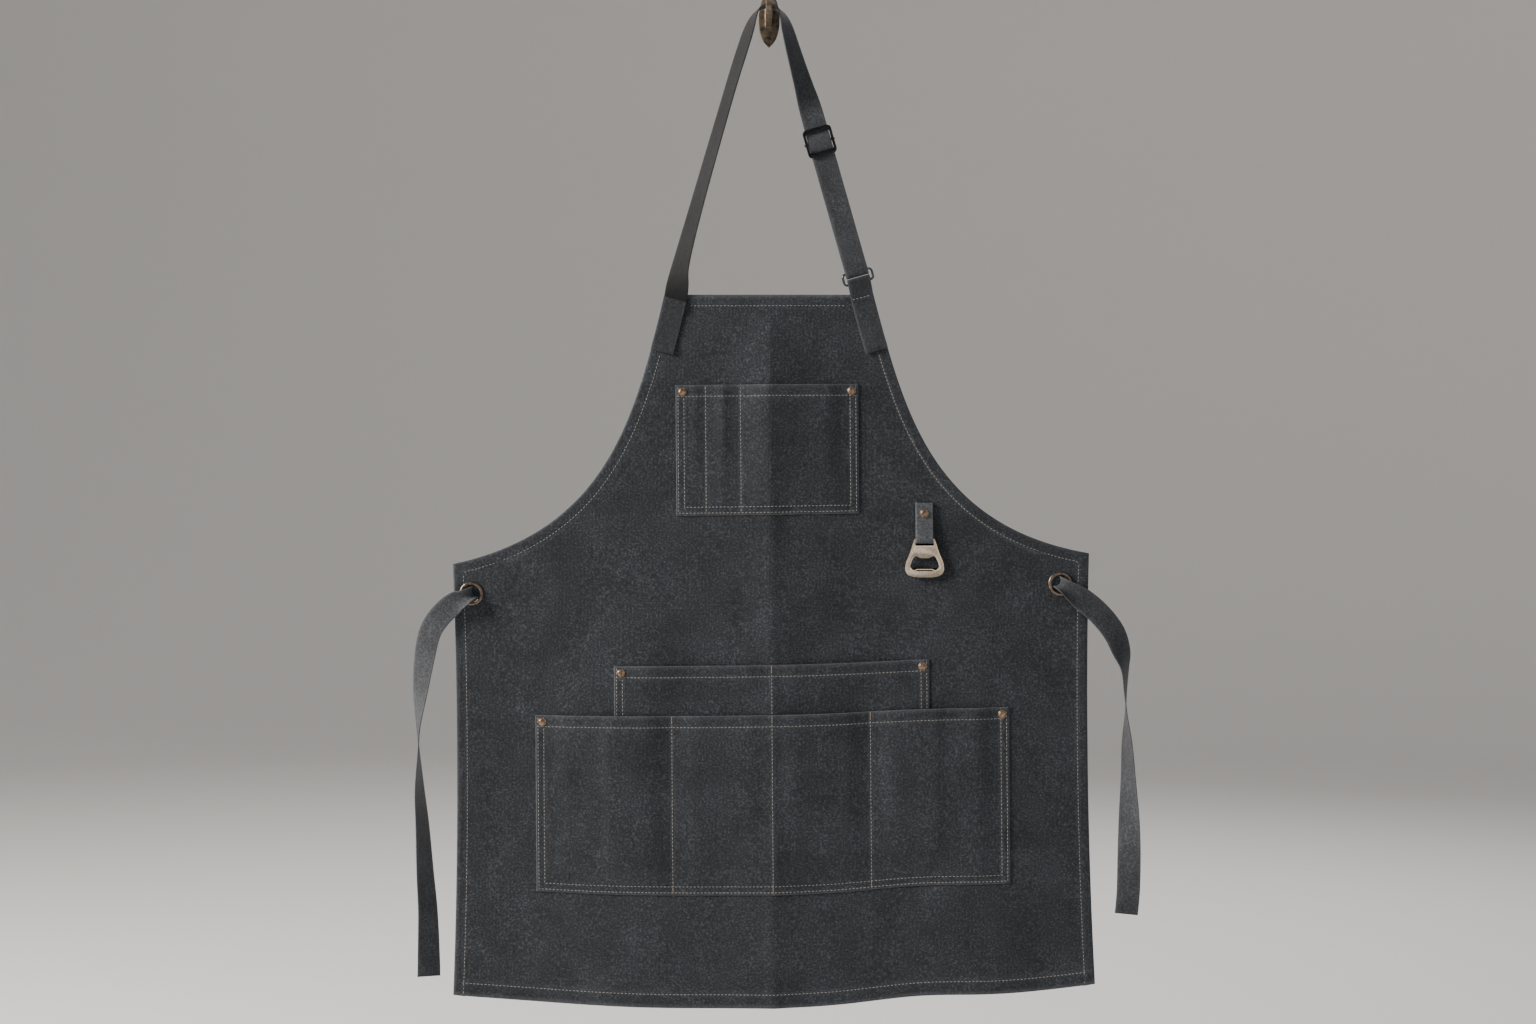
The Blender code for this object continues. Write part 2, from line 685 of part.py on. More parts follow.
def strap_stations():
    foot = Vector((LEFT_SEAM.x, FOLD_LINE_Y, BIB_TOP_Z + SEAM_RELIEF))
    keys = strap_keys(foot)
    first = Vector(keys[0][:3])
    route = smooth_path([(*foot, 90), (*foot.lerp(first, 0.35), 76), *keys, (*STRAIGHT_TOP, 90)], 2)
    centres = [Vector(point[:3]) for point in route]
    stations = [(centre, strap_half(tangent, point[3], STRAP_WIDTH))
                for centre, tangent, point in zip(centres, tangents(centres), route)]
    lean = atan2(first.x - foot.x, first.z - foot.z)
    stations[0] = (centres[0], Vector((-STRAP_WIDTH / cos(lean) / 2, 0.0, 0.0)))
    half = ACROSS * STRAP_WIDTH / 2
    stations[-1] = (STRAIGHT_TOP, half)
    fold_start = TOP_WIRE + FACE * STRAP_FOLD
    stations += [(STRAIGHT_TOP.lerp(fold_start, t), half) for t in (0.25, 0.5, 0.75)]
    for i in range(9):
        angle = pi * i / 8
        stations.append((TOP_WIRE + (FACE * cos(angle) + LEG * sin(angle)) * STRAP_FOLD, half))
    tail_top = SLIDER_BAR - FACE * STRAP_FOLD - LEG * TAIL_PAST_BAR
    fold_end = TOP_WIRE - FACE * STRAP_FOLD
    stations += [(fold_end.lerp(tail_top, t), half) for t in (0.33, 0.67, 1.0)]
    return stations


def make_ring_loop():
    """Webbing loop that holds the ring, its ends meeting the bib's top edge."""
    seam_x, seam_z = RIGHT_SEAM.x, BIB_TOP_Z + SEAM_RELIEF
    lean = atan2(ACROSS.z, ACROSS.x)
    level = Vector((STRAP_WIDTH / cos(lean) / 2, 0.0, 0.0))
    half = ACROSS * STRAP_WIDTH / 2
    back_y = FOLD_LINE_Y + WEBBING + LAYER_GAP
    stations = [(Vector((seam_x, back_y, seam_z)), level)]
    for i in range(9):
        angle = pi * i / 8
        arc = -FACE * cos(angle) - LEG * sin(angle)
        stations.append((BOTTOM_WIRE + arc * STRAP_FOLD, half))
    stations.append((Vector((seam_x, FOLD_LINE_Y, seam_z)), level))
    return ribbon("ring_loop", stations, WEBBING, WEB)


def strap_matrix(origin):
    """Local x across the strap, y up it and z towards the room."""
    columns = (ACROSS, -LEG, FACE)
    rotation = Matrix([[column[i] for column in columns] for i in range(3)]).to_4x4()
    return Matrix.Translation(origin) @ rotation


def make_ring():
    curve = bpy.data.curves.new("strap_ring", "CURVE")
    curve.dimensions = "3D"
    curve.bevel_depth = RING_WIRE / 2
    curve.bevel_resolution = 1
    spline = curve.splines.new("POLY")
    points = rounded_rectangle(RING_LENGTH - RING_WIRE, RING_HEIGHT - RING_WIRE, RING_CORNER, 3)
    spline.points.add(len(points) - 1)
    for point, (x, y) in zip(spline.points, points):
        point.co = (x, y, 0.0, 1.0)
    spline.use_cyclic_u = True
    ring = bpy.data.objects.new("strap_ring", curve)
    ring.matrix_world = strap_matrix(RING_CENTRE)
    return link(ring, GUNMETAL)


def make_slider():
    inner = STRAP_WIDTH + 2 * SLIDER_CLEARANCE
    outer = inner + 2 * SLIDER_SIDE
    rings = (rounded_rectangle(outer, SLIDER_HEIGHT, SLIDER_CORNER),
             rounded_rectangle(inner, SLIDER_HEIGHT - 2 * SLIDER_RAIL, SLIDER_INNER_CORNER))
    lift = STRAP_FOLD + WEBBING / 2 + GAP + SLIDER_DEPTH / 2
    frame = outline("slider_frame", rings, SLIDER_DEPTH / 2, strap_matrix(SLIDER_BAR + FACE * lift), GUNMETAL)
    back = BAR_RADIUS + EAR_WALL
    depth = lift + back
    for side in (-1, 1):
        bpy.ops.mesh.primitive_cube_add(size=1.0)
        ear = bpy.context.object
        ear.name = "slider_ear"
        centre = SLIDER_BAR + ACROSS * side * (inner / 2 + SLIDER_SIDE / 2) + FACE * (lift - back) / 2
        ear.matrix_world = strap_matrix(centre) @ Matrix.Diagonal((SLIDER_SIDE - EAR_INSET, EAR_HEIGHT, depth, 1))
        join(frame, cutter(ear))
    length = outer + 2 * BAR_NUB
    hole = rod("bar_hole", SLIDER_BAR, ACROSS, BAR_RADIUS + GAP, 2 * length, 16)
    cut(frame, cutter(hole))
    bar = rod("slider_bar", SLIDER_BAR, ACROSS, BAR_RADIUS, length, 12)
    link(bar, GUNMETAL)
    round_off(bar)


# Bottle opener and tab

def mirror_outline(right):
    """A closed outline from its right half, given top to bottom."""
    return right + [(-x, y) for x, y in reversed(right) if abs(x) > 1e-6]


OPENER_FOLD = (OPENER_BAR_HEIGHT ** 2 + OPENER_THICKNESS ** 2) ** 0.5 / 2 + GAP + WEBBING / 2
TAB_BACK = CLOTH / 2 + LAYER_GAP + WEBBING / 2
OPENER_AXIS = hang(TAB_U, TAB_TOP + OPENER_BAR_DROP, TAB_BACK + OPENER_FOLD)


def make_tab(panel):
    """Webbing up the back, round the opener's top bar and up the front, riveted through."""
    top = hang(TAB_U, TAB_TOP)
    at_rivet = TAB_TOP + TAB_RIVET_DROP
    side = Vector((TAB_WIDTH / 2, 0.0, 0.0))
    front_out = TAB_BACK + WEBBING + LAYER_GAP

    def on_tab(v, out):
        place = hang(TAB_U, v, out)
        return Vector((top.x + (OPENER_AXIS.x - top.x) * (v - TAB_TOP) / OPENER_BAR_DROP, place.y, place.z))

    stations = [(on_tab(TAB_TOP, TAB_BACK), side), (on_tab(at_rivet, TAB_BACK), side),
                (on_tab(TAB_TOP + 0.026, TAB_BACK), side)]
    for i in range(9):
        angle = pi * i / 8
        arc = Vector((0.0, cos(angle), -sin(angle))) * OPENER_FOLD
        stations.append((OPENER_AXIS + arc, side))
    stations += [(on_tab(TAB_TOP + 0.026, lerp(front_out, TAB_BACK + 2 * OPENER_FOLD, 0.45)), side),
                 (on_tab(at_rivet + 0.005, front_out), side), (on_tab(TAB_TOP, front_out), side)]
    tab = ribbon("opener_tab", stations, WEBBING, WEB)
    rivet("opener_tab", TAB_U, at_rivet, front_out + (WEBBING - CLOTH) / 2, (tab, panel))


def make_opener():
    """Top bar, two arms, bridge, and the cap window with its lifting lip; y is down from the bar."""
    bar = OPENER_BAR_HEIGHT / 2
    slot_half = TAB_WIDTH / 2 + OPENER_SLOT_CLEARANCE
    slot_low = -bar - OPENER_SLOT
    window_top = slot_low - OPENER_BRIDGE
    low = bar - OPENER_HEIGHT
    outer = mirror_outline([
        (OPENER_TOP_HALF - 0.0014, bar), (OPENER_TOP_HALF - 0.0004, bar - 0.0006), (OPENER_TOP_HALF, bar - 0.002),
        (lerp(OPENER_TOP_HALF, OPENER_HALF, 0.48), lerp(bar, low, 0.38)),
        (lerp(OPENER_TOP_HALF, OPENER_HALF, 0.86), lerp(bar, low, 0.58)),
        (OPENER_HALF, lerp(bar, low, 0.74)), (OPENER_HALF * 0.99, lerp(bar, low, 0.82)),
        (OPENER_HALF * 0.90, lerp(bar, low, 0.91)), (OPENER_HALF * 0.72, lerp(bar, low, 0.965)),
        (OPENER_HALF * 0.40, lerp(bar, low, 0.995)), (0.0, low)])
    slot = [(slot_half, -bar), (slot_half, slot_low), (-slot_half, slot_low), (-slot_half, -bar)]
    side = OPENER_HALF - OPENER_ARM
    base = low + OPENER_BASE
    window = mirror_outline([
        (0.0042, window_top - 0.0024), (0.0068, window_top - 0.0012), (0.0098, window_top - 0.0004),
        (0.0118, window_top - 0.0018), (side * 0.90, window_top - 0.0062), (side, window_top - 0.0120),
        (side - 0.0006, base + 0.0028), (side - 0.0030, base), (0.0100, base), (0.0082, base + 0.0010)])
    matrix = Matrix.Translation(OPENER_AXIS) @ Matrix.Rotation(pi / 2, 4, "X")
    outline("bottle_opener", (outer, slot, window), OPENER_THICKNESS / 2, matrix, OPENER_METAL)


# Hook

def plate_outline():
    half_w, half_h = PLATE_WIDTH / 2, PLATE_HEIGHT / 2
    points = []
    count = 28
    for i in range(count):
        angle = pi / 2 - 2 * pi * i / count
        tip = PLATE_TIP * bump(angle + pi / 2, 0.16)
        points.append((half_w * cos(angle), (half_h - PLATE_TIP) * sin(angle) - tip))
    return points


def make_hook():
    face = Matrix.Rotation(pi / 2, 4, "X")
    centre = Vector((0.0, -PLATE_THICKNESS / 2, 0.0))
    plate = outline("hook_casting", (plate_outline(),), PLATE_THICKNESS / 2,
                    Matrix.Translation(centre) @ face, HOOK_METAL)
    front = -PLATE_THICKNESS + 0.001
    saddle_end = CROWN_Y - STRAP_WIDTH / 2 - 0.0025
    under = (
        (front, ARM_ROOT_Z), (-0.012, ARM_ROOT_Z + 0.0035), (-0.025, ARM_ROOT_Z + 0.0080),
        (saddle_end - 0.002, -0.0005), (saddle_end - 0.0095, 0.0060), (-ARM_REACH + 0.0015, 0.0160),
        (-ARM_REACH - 0.0008, ARM_TIP_Z - 0.0060), (-ARM_REACH - 0.0006, ARM_TIP_Z - 0.0015),
        (-ARM_REACH + 0.0018, ARM_TIP_Z))
    over = (
        (-ARM_REACH + 0.0052, ARM_TIP_Z - 0.0010), (-ARM_REACH + 0.0068, ARM_TIP_Z - 0.0040),
        (-ARM_REACH + 0.0076, ARM_TIP_Z - 0.0110), (saddle_end - 0.0030, ARM_TOP_Z + 0.0035),
        (saddle_end, ARM_TOP_Z), (-0.010, ARM_TOP_Z), (front, ARM_TOP_Z + 0.003))
    side = Matrix(((0, 0, 1, 0), (1, 0, 0, 0), (0, 1, 0, 0), (0, 0, 0, 1)))
    arm = outline("hook_arm", (under + over,), ARM_WIDTH / 2, side, None)
    bevel = arm.modifiers.new("cast_edges", "BEVEL")
    bevel.width = 0.0014
    bevel.segments = 2
    join(plate, cutter(arm))
    for label, sign in (("upper", 1), ("lower", -1)):
        z = sign * SCREW_SPACING / 2
        screw(label, z, plate)
    round_off(plate)


def screw(label, z, plate):
    """Slotted countersunk wood screw, its head level with the plate's face."""
    centre = Vector((0.0, -PLATE_THICKNESS, z))
    r, shank, depth = SCREW_HEAD_RADIUS, SCREW_SHANK_RADIUS, SCREW_HEAD_DEPTH
    end = PLATE_THICKNESS + SCREW_LENGTH
    profile = [(0.0, 0.0004), (r * 0.6, 0.0003), (r, -0.0001), (shank, -depth), (shank, -end + 0.004),
               (0.0, -end)]
    body = turned("hook_screw_" + label, profile, centre, HOOK_METAL)
    round_off(body)
    bpy.ops.mesh.primitive_cube_add(size=1.0, location=centre)
    slot = bpy.context.object
    slot.name = "screw_slot_" + label
    slot.scale = (SCREW_SLOT, 0.0016, 3 * r)
    cut(body, cutter(slot))
    clear = 2 * GAP
    sink = [(0.0, 0.001), (r + clear, 0.001), (r + clear, -0.0001), (shank + clear, -depth - clear),
            (shank + clear, -PLATE_THICKNESS - 0.002), (0.0, -PLATE_THICKNESS - 0.002)]
    cut(plate, cutter(turned("screw_hole_" + label, sink, centre, None)))


# Waist ties

def tie_stations(route):
    points = smooth_path(route, 2)
    centres = [Vector(point[:3]) for point in points]
    stations = []
    for centre, tangent, point in zip(centres, tangents(centres), points):
        depth = Vector((0.0, 1.0, 0.0))
        along = Vector((tangent.x, 0.0, tangent.z))
        if along.length < 0.3:
            along = Vector((route[5][0] - route[1][0], 0.0, route[5][2] - route[1][2]))
        across = along.normalized().cross(depth)
        normal = tangent.cross(across).normalized()
        angle = point[3] * pi / 180
        stations.append((centre, (across * cos(angle) + normal * sin(angle)) * TIE_WIDTH * point[4] / 2))
    return stations


def make_tie(side, route):
    ribbon("tie_" + side, tie_stations(route), WEBBING, WEB)
    x, y, z = route[0][:3]
    bpy.ops.mesh.primitive_uv_sphere_add(segments=12, ring_count=7, radius=1.0,
                                         location=(x, y + GAP + KNOT_RADII[1], z), scale=KNOT_RADII)
    knot = bpy.context.object
    knot.name = f"tie_{side}_knot"
    link(knot, WEB)
    round_off(knot)


# Moving bodies

def adopt(child, parent):
    child.parent = parent
    child.matrix_parent_inverse = parent.matrix_world.inverted()


def moving_body(axis_name, place, above, make):
    """All that make() adds hangs from an empty on its joint's axis, which rides on the body above."""
    before = set(bpy.data.objects)
    make()
    added = [obj for obj in bpy.data.objects if obj not in before]
    empty = bpy.data.objects.new(axis_name, None)
    empty.empty_display_size = 0.02
    empty.location = place
    PARTS.objects.link(empty)
    bpy.context.view_layer.update()
    if above:
        adopt(empty, above)
    for obj in added:
        adopt(obj, empty)
    return empty


def make_neck():
    ribbon("neck_strap", strap_stations(), WEBBING, WEB)
    make_ring_loop()
    make_ring()


def make_apron():
    panel = make_panel()
    chest = pocket("chest_pocket", chest_seams(), CHEST_PITCH, (CHEST_TOP, CHEST_BOTTOM), chest_offset)
    upper = pocket("upper_pocket", upper_seams(), UPPER_PITCH, (UPPER_TOP, LOWER_TOP, UPPER_BOTTOM),
                   upper_offset)
    lower = pocket("lower_pocket", lower_seams(), LOWER_PITCH,
                   (LOWER_TOP, UPPER_BOTTOM + STEP_MARGIN, LOWER_BOTTOM), lower_offset)
    pocket_rivets("chest", CHEST_LEFT, CHEST_RIGHT, CHEST_TOP, chest_offset, chest, panel)
    pocket_rivets("upper", -UPPER_HALF, UPPER_HALF, UPPER_TOP, upper_offset, upper, panel)
    pocket_rivets("lower", -LOWER_HALF, LOWER_HALF, LOWER_TOP, lower_offset, lower, panel)
    half = half_width(EYELET_DROP)
    eyelet("left", -half + EYELET_LEFT_INSET, EYELET_DROP, panel)
    eyelet("right", half - EYELET_RIGHT_INSET, EYELET_DROP, panel)
    make_anchors()
    make_tab(panel)


def build():
    make_hook()
    neck = moving_body("lift_off", (0.0, CROWN_Y, ARM_TOP_Z), None, make_neck)
    moving_body("slider_slide", SLIDER_BAR, neck, make_slider)
    apron = moving_body("bib_fold", (0.0, FOLD_LINE_Y, BIB_TOP_Z), neck, make_apron)
    moving_body("opener_swing", OPENER_AXIS, apron, make_opener)
    for side, route in (("left", LEFT_TIE_ROUTE), ("right", RIGHT_TIE_ROUTE)):
        moving_body(side + "_tie_swing", route[0][:3], apron, lambda: make_tie(side, route))


build()
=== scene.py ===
from math import ceil, cos, exp, pi, sin, sqrt

import bpy
import numpy as np
from mathutils import Matrix, Vector, noise


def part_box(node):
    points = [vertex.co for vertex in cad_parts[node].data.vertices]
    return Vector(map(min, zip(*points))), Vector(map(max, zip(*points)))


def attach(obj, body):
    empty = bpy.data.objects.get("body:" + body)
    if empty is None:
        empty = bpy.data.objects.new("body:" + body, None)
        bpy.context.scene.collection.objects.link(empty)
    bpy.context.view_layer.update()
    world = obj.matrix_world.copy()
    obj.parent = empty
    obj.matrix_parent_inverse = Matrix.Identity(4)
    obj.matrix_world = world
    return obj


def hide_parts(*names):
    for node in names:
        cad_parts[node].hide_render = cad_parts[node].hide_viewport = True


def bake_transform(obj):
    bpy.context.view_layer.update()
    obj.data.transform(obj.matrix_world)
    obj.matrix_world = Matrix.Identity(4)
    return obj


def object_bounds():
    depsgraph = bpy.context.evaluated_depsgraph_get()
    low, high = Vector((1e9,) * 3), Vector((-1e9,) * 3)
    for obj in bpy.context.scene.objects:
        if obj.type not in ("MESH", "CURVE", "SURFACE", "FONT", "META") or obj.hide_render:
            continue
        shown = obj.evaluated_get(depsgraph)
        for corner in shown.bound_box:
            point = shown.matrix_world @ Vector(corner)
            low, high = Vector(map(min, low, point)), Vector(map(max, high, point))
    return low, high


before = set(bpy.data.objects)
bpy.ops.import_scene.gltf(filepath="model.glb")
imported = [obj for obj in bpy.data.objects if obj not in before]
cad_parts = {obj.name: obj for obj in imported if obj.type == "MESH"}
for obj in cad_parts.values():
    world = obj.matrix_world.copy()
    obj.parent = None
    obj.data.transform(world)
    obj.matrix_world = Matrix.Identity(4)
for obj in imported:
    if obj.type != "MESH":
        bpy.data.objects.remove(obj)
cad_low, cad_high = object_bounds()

# Camera and studio
CAMERA_PLACE = (-0.001, -2.416, -0.535)
CAMERA_LENS = 52.08
FLOOR_DROP = 0.25             # floor below the apron's hem
FLOOR_FLAT = 5.0              # radius of the flat floor, before it sweeps up
FLOOR_SWEEP = 4.0
FLOOR_STEPS = 8

# Cloth and webbing
CLOTH = 0.0012
LAYER_GAP = 0.0005
WEBBING = 0.0014
STRAP_WIDTH = 0.0250
TIE_WIDTH = 0.0250
GAP = 0.0003

# Apron pattern: u across, v down from the bib's top edge
BIB_TOP_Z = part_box("apron_panel")[1].z
BIB_HALF = 0.1128
CORNER_HALF = 0.3435
CORNER_DROP = 0.2855
HEM_HALF = 0.3460
APRON_LENGTH = 0.7500
SIDE_NIP = 0.0045
ARMHOLE_START_PULL = 0.140
ARMHOLE_START_ANGLE = 14 * pi / 180
ARMHOLE_END_PULL = 0.170
ARMHOLE_END_ANGLE = 12 * pi / 180
WALL_GAP = 0.0125
HEM_STAND_OFF = 0.0075
HANG_TILT = 0.0170
HANG_LEAN = 0.0075
HEM_SAG = 0.0195
SIDE_LIFT = 0.0060
SIDE_LIFT_U = 0.160
SIDE_LIFT_SPREAD = 0.070
CREASE_HEIGHT = 0.0040
CREASE_SPREAD = 0.045
FOLDS = (
    (-0.150, 0.0030, 0.060),
    (-0.262, -0.0025, 0.055),
    (0.215, 0.0028, 0.065),
    (0.120, -0.0015, 0.050),
)

# Pockets on the pattern
CHEST_LEFT, CHEST_RIGHT, CHEST_TOP, CHEST_BOTTOM = -0.1015, 0.0956, 0.0972, 0.2360
UPPER_HALF, UPPER_TOP, UPPER_BOTTOM = 0.1698, 0.3945, 0.5900
LOWER_HALF, LOWER_TOP, LOWER_BOTTOM = 0.2553, 0.4468, 0.6335
CHEST_DIVIDERS = (-0.0693, -0.0316)
LOWER_DIVIDERS = (-0.1080, 0.0, 0.1060)
CHEST_BULGE = 0.0038          # empty, the pockets lie flatter than their openings allow
UPPER_BULGE = 0.0030
LOWER_BULGE = 0.0034
BULGE_MARGIN = 0.0020
BULGE_RISE = 0.0260           # width in which the cloth lifts beside a seam
EDGE_MARGIN = 0.0123
STEP_MARGIN = 0.0040
STEP_RISE = 0.0140

# Seams and hems, real sizes of this make
SIDE_HEM = 0.0110             # stitch line in from the sides and armholes
BOTTOM_HEM = 0.0140
TOP_HEM = 0.0120
POCKET_HEM = 0.0120
OUTER_ROW = 0.0026            # double rows round a pocket
INNER_ROW = 0.0088
STITCH_PITCH = 0.0040
STITCH_LENGTH = 0.0027
THREAD = 0.00036              # radius of a stitch as it stands, drawn thick enough to show
THREAD_OUT = 0.35 * THREAD    # how far a stitch's middle stands out of the cloth

# Strap, ring and slider, from the frame
ANCHOR_LENGTH = 0.0615
STRAP_INSET = 0.0127
RING_WIRE = 0.0026
CROWN_Y = -0.0230
FOLD_LINE_Y = -(WALL_GAP + CLOTH / 2 + LAYER_GAP + WEBBING / 2)


# Small helpers

def lerp(a, b, t):
    return a + (b - a) * t


def smooth(t):
    t = min(1.0, max(0.0, t))
    return t * t * (3 - 2 * t)


def bump(distance, spread):
    return exp(-(distance / spread) ** 2)


def smooth_path(keys, per_span):
    """Catmull-Rom curve through tuples of numbers."""
    points = []
    last = len(keys) - 1
    for i in range(last):
        before, start, end, after = keys[max(i - 1, 0)], keys[i], keys[i + 1], keys[min(i + 2, last)]
        for step in range(per_span):
            t = step / per_span
            points.append(tuple(
                0.5 * (2 * b + (c - a) * t + (2 * a - 5 * b + 4 * c - d) * t * t
                       + (3 * b - a - 3 * c + d) * t ** 3)
                for a, b, c, d in zip(before, start, end, after)))
    points.append(tuple(keys[-1]))
    return points


def tangents(points):
    last = len(points) - 1
    return [(points[min(i + 1, last)] - points[max(i - 1, 0)]).normalized() for i in range(last + 1)]


def length_of(points):
    return sum((b - a).length for a, b in zip(points, points[1:]))


def nothing_selected():
    bpy.ops.object.select_all(action="DESELECT")


def choose(obj):
    nothing_selected()
    obj.select_set(True)
    bpy.context.view_layer.objects.active = obj


def settle(obj):
    """Its place goes into its mesh."""
    choose(obj)
    bpy.ops.object.transform_apply(location=True, rotation=True, scale=True)
    return obj


def apply_all(obj):
    choose(obj)
    for modifier in list(obj.modifiers):
        bpy.ops.object.modifier_apply(modifier=modifier.name)
    return obj


def round_shading(obj, degrees=38):
    choose(obj)
    bpy.ops.object.shade_smooth_by_angle(angle=degrees * pi / 180)
    return obj


def finish_piece(obj, material, body=None, nodes=()):
    """Gives a piece its finish and its body, and hides the plain solids that it stands for."""
    obj.data.materials.clear()
    obj.data.materials.append(material)
    if body:
        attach(obj, body)
    if nodes:
        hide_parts(*nodes)
    return obj


# Materials

def linear(code):
    """An sRGB hex colour in linear light."""
    channels = [int(code[i:i + 2], 16) / 255 for i in (1, 3, 5)]
    return (*[c / 12.92 if c <= 0.04045 else ((c + 0.055) / 1.055) ** 2.4 for c in channels], 1.0)


def add(tree, kind, inputs=None, **settings):
    """One node with its settings; inputs are values, or sockets to link."""
    node = tree.nodes.new("ShaderNode" + kind)
    for name, value in settings.items():
        setattr(node, name, value)
    for name, value in (inputs or {}).items():
        if isinstance(value, bpy.types.NodeSocket):
            tree.links.new(value, node.inputs[name])
        else:
            node.inputs[name].default_value = value
    return node


def blank(name):
    """A material with its shader and nothing else: (material, tree, shader)."""
    material = bpy.data.materials.new(name)
    material.use_nodes = True
    tree = material.node_tree
    return material, tree, tree.nodes["Principled BSDF"]


def per_metre(size_mm):
    """A noise's scale for features of that size."""
    return 1000 / size_mm


def band_scale(pitch_mm):
    """A wave's scale for bands that far apart."""
    return 2 * pi / 20 * 1000 / pitch_mm


def noise_of(tree, place, size_mm, detail, rough=0.5, twist=0.0):
    """Noise in the piece's own space, with features of that size."""
    node = add(tree, "TexNoise", {"Vector": place.outputs["Object"], "Scale": per_metre(size_mm),
                                  "Detail": detail, "Roughness": rough, "Distortion": twist})
    return node.outputs["Fac"]


def bands_of(tree, place, pitch_mm, direction):
    """Uneven bands along the threads."""
    node = add(tree, "TexWave", {"Vector": place.outputs[0], "Scale": band_scale(pitch_mm),
                                 "Distortion": 0.6, "Detail": 1.0, "Detail Scale": 3.0},
               bands_direction=direction)
    return node.outputs["Fac"]


def spread(tree, value, low, high, least, most):
    """A value from low to high, made to run from least to most."""
    return add(tree, "MapRange", {"Value": value, "From Min": low, "From Max": high, "To Min": least,
                                  "To Max": most}).outputs[0]


def sum_of(tree, a, b, operation="ADD"):
    return add(tree, "Math", {0: a, 1: b}, operation=operation).outputs[0]


def colours_of(tree, value, stops):
    """Colours by value, from (place, colour) stops."""
    node = add(tree, "ValToRGB", {"Fac": value})
    first, middle, last = stops
    ramp = node.color_ramp.elements
    ramp[0].position, ramp[0].color = first[0], linear(first[1])
    ramp[1].position, ramp[1].color = last[0], linear(last[1])
    ramp.new(middle[0]).color = linear(middle[1])
    return node.outputs["Color"]


def mixed(tree, below, above, share):
    return add(tree, "Mix", {6: below, 7: above, 0: share}, data_type="RGBA").outputs[2]


def woven(name, dark, middle, light, rubbed, thread_mm, slant):
    """Cotton cloth: threads that stand up, a fibrous mottle, cloudy fading and rubbed edges, and
    painted shade, darker where the mesh's attribute for it says."""
    material, tree, shader = blank(name)
    place = add(tree, "TexCoord")
    turned = add(tree, "Mapping", {"Vector": place.outputs["UV"], "Rotation": (0, 0, slant)})
    warp = bands_of(tree, turned, thread_mm, "X")
    weft = bands_of(tree, turned, thread_mm * 1.15, "Y")
    threads = sum_of(tree, warp, weft)
    fibre = noise_of(tree, place, 2.0, 3.0, 0.62)
    cloud = noise_of(tree, place, 46, 5.0, 0.6)
    streak = noise_of(tree, place, 9, 4.0, 0.7, 1.2)
    mottle = colours_of(tree, fibre, ((0.33, dark), (0.52, middle), (0.70, light)))
    fade = spread(tree, cloud, 0.32, 0.70, 0.74, 1.34)
    grain = spread(tree, threads, 0.0, 2.0, 0.82, 1.16)
    # painted shade: a per-point attribute of the mesh, taken off the cloth's brightness
    painted_shade = add(tree, "Attribute", attribute_name="painted_shade").outputs["Fac"]
    level = sum_of(tree, fade, sum_of(tree, grain, painted_shade, "SUBTRACT"), "MULTIPLY")
    faded = mixed(tree, mottle, linear(light), spread(tree, streak, 0.60, 0.74, 0.0, 0.30))
    shaded = add(tree, "VectorMath", {0: faded, "Scale": level}, operation="SCALE").outputs[0]
    rub = add(tree, "Attribute", attribute_name="rub").outputs["Fac"]
    worn = mixed(tree, shaded, linear(rubbed), sum_of(tree, rub, streak, "MULTIPLY"))
    raised = add(tree, "Bump", {"Height": sum_of(tree, threads, fibre), "Strength": 0.45,
                                "Distance": 0.00025})
    creased = add(tree, "Bump", {"Height": streak, "Strength": 0.5, "Distance": 0.0012,
                                 "Normal": raised.outputs[0]})
    tree.links.new(worn, shader.inputs["Base Color"])
    tree.links.new(creased.outputs[0], shader.inputs["Normal"])
    shader.inputs["Roughness"].default_value = 0.88
    shader.inputs["Specular IOR Level"].default_value = 0.25
    shader.inputs["Sheen Weight"].default_value = 0.12
    shader.inputs["Sheen Roughness"].default_value = 0.55
    return material


def plated(name, base, dark, light, roughness, grain_mm, coat=0.0):
    """Plated or cast metal: a tarnish that clouds it, and a fine grain in its gloss and surface."""
    material, tree, shader = blank(name)
    place = add(tree, "TexCoord")
    tarnish = noise_of(tree, place, grain_mm * 5, 5.0, 0.65)
    grain = noise_of(tree, place, grain_mm, 3.0, 0.6)
    colour = colours_of(tree, tarnish, ((0.30, dark), (0.50, base), (0.74, light)))
    gloss = spread(tree, grain, 0.3, 0.7, roughness - 0.08, roughness + 0.10)
    raised = add(tree, "Bump", {"Height": grain, "Strength": 0.35, "Distance": 0.00012})
    tree.links.new(colour, shader.inputs["Base Color"])
    tree.links.new(gloss, shader.inputs["Roughness"])
    tree.links.new(raised.outputs[0], shader.inputs["Normal"])
    shader.inputs["Metallic"].default_value = 1.0
    shader.inputs["Coat Weight"].default_value = coat
    shader.inputs["Coat Roughness"].default_value = 0.2
    return material


def spun(name, colour, shade):
    """Sewing thread: soft, matt, with painted shade in a noise for the grooves where its plies meet."""
    material, tree, shader = blank(name)
    ply_shade = noise_of(tree, add(tree, "TexCoord"), 3.0, 2.0)
    tree.links.new(mixed(tree, linear(shade), linear(colour), ply_shade), shader.inputs["Base Color"])
    shader.inputs["Roughness"].default_value = 0.8
    shader.inputs["Sheen Weight"].default_value = 0.2
    return material


# Waxed cotton duck, washed: charcoal with a blue cast, matt, cloudy, paler on its folded edges
CANVAS = woven("waxed_cotton_duck", "#181b20", "#25292e", "#41464c", "#5d6267", 1.5, 0.0)
# Cotton webbing, shuttle woven: a shade lighter and smoother than the canvas
WEB = woven("woven_cotton_webbing", "#26292d", "#35383c", "#484c50", "#606468", 1.3, pi / 4)
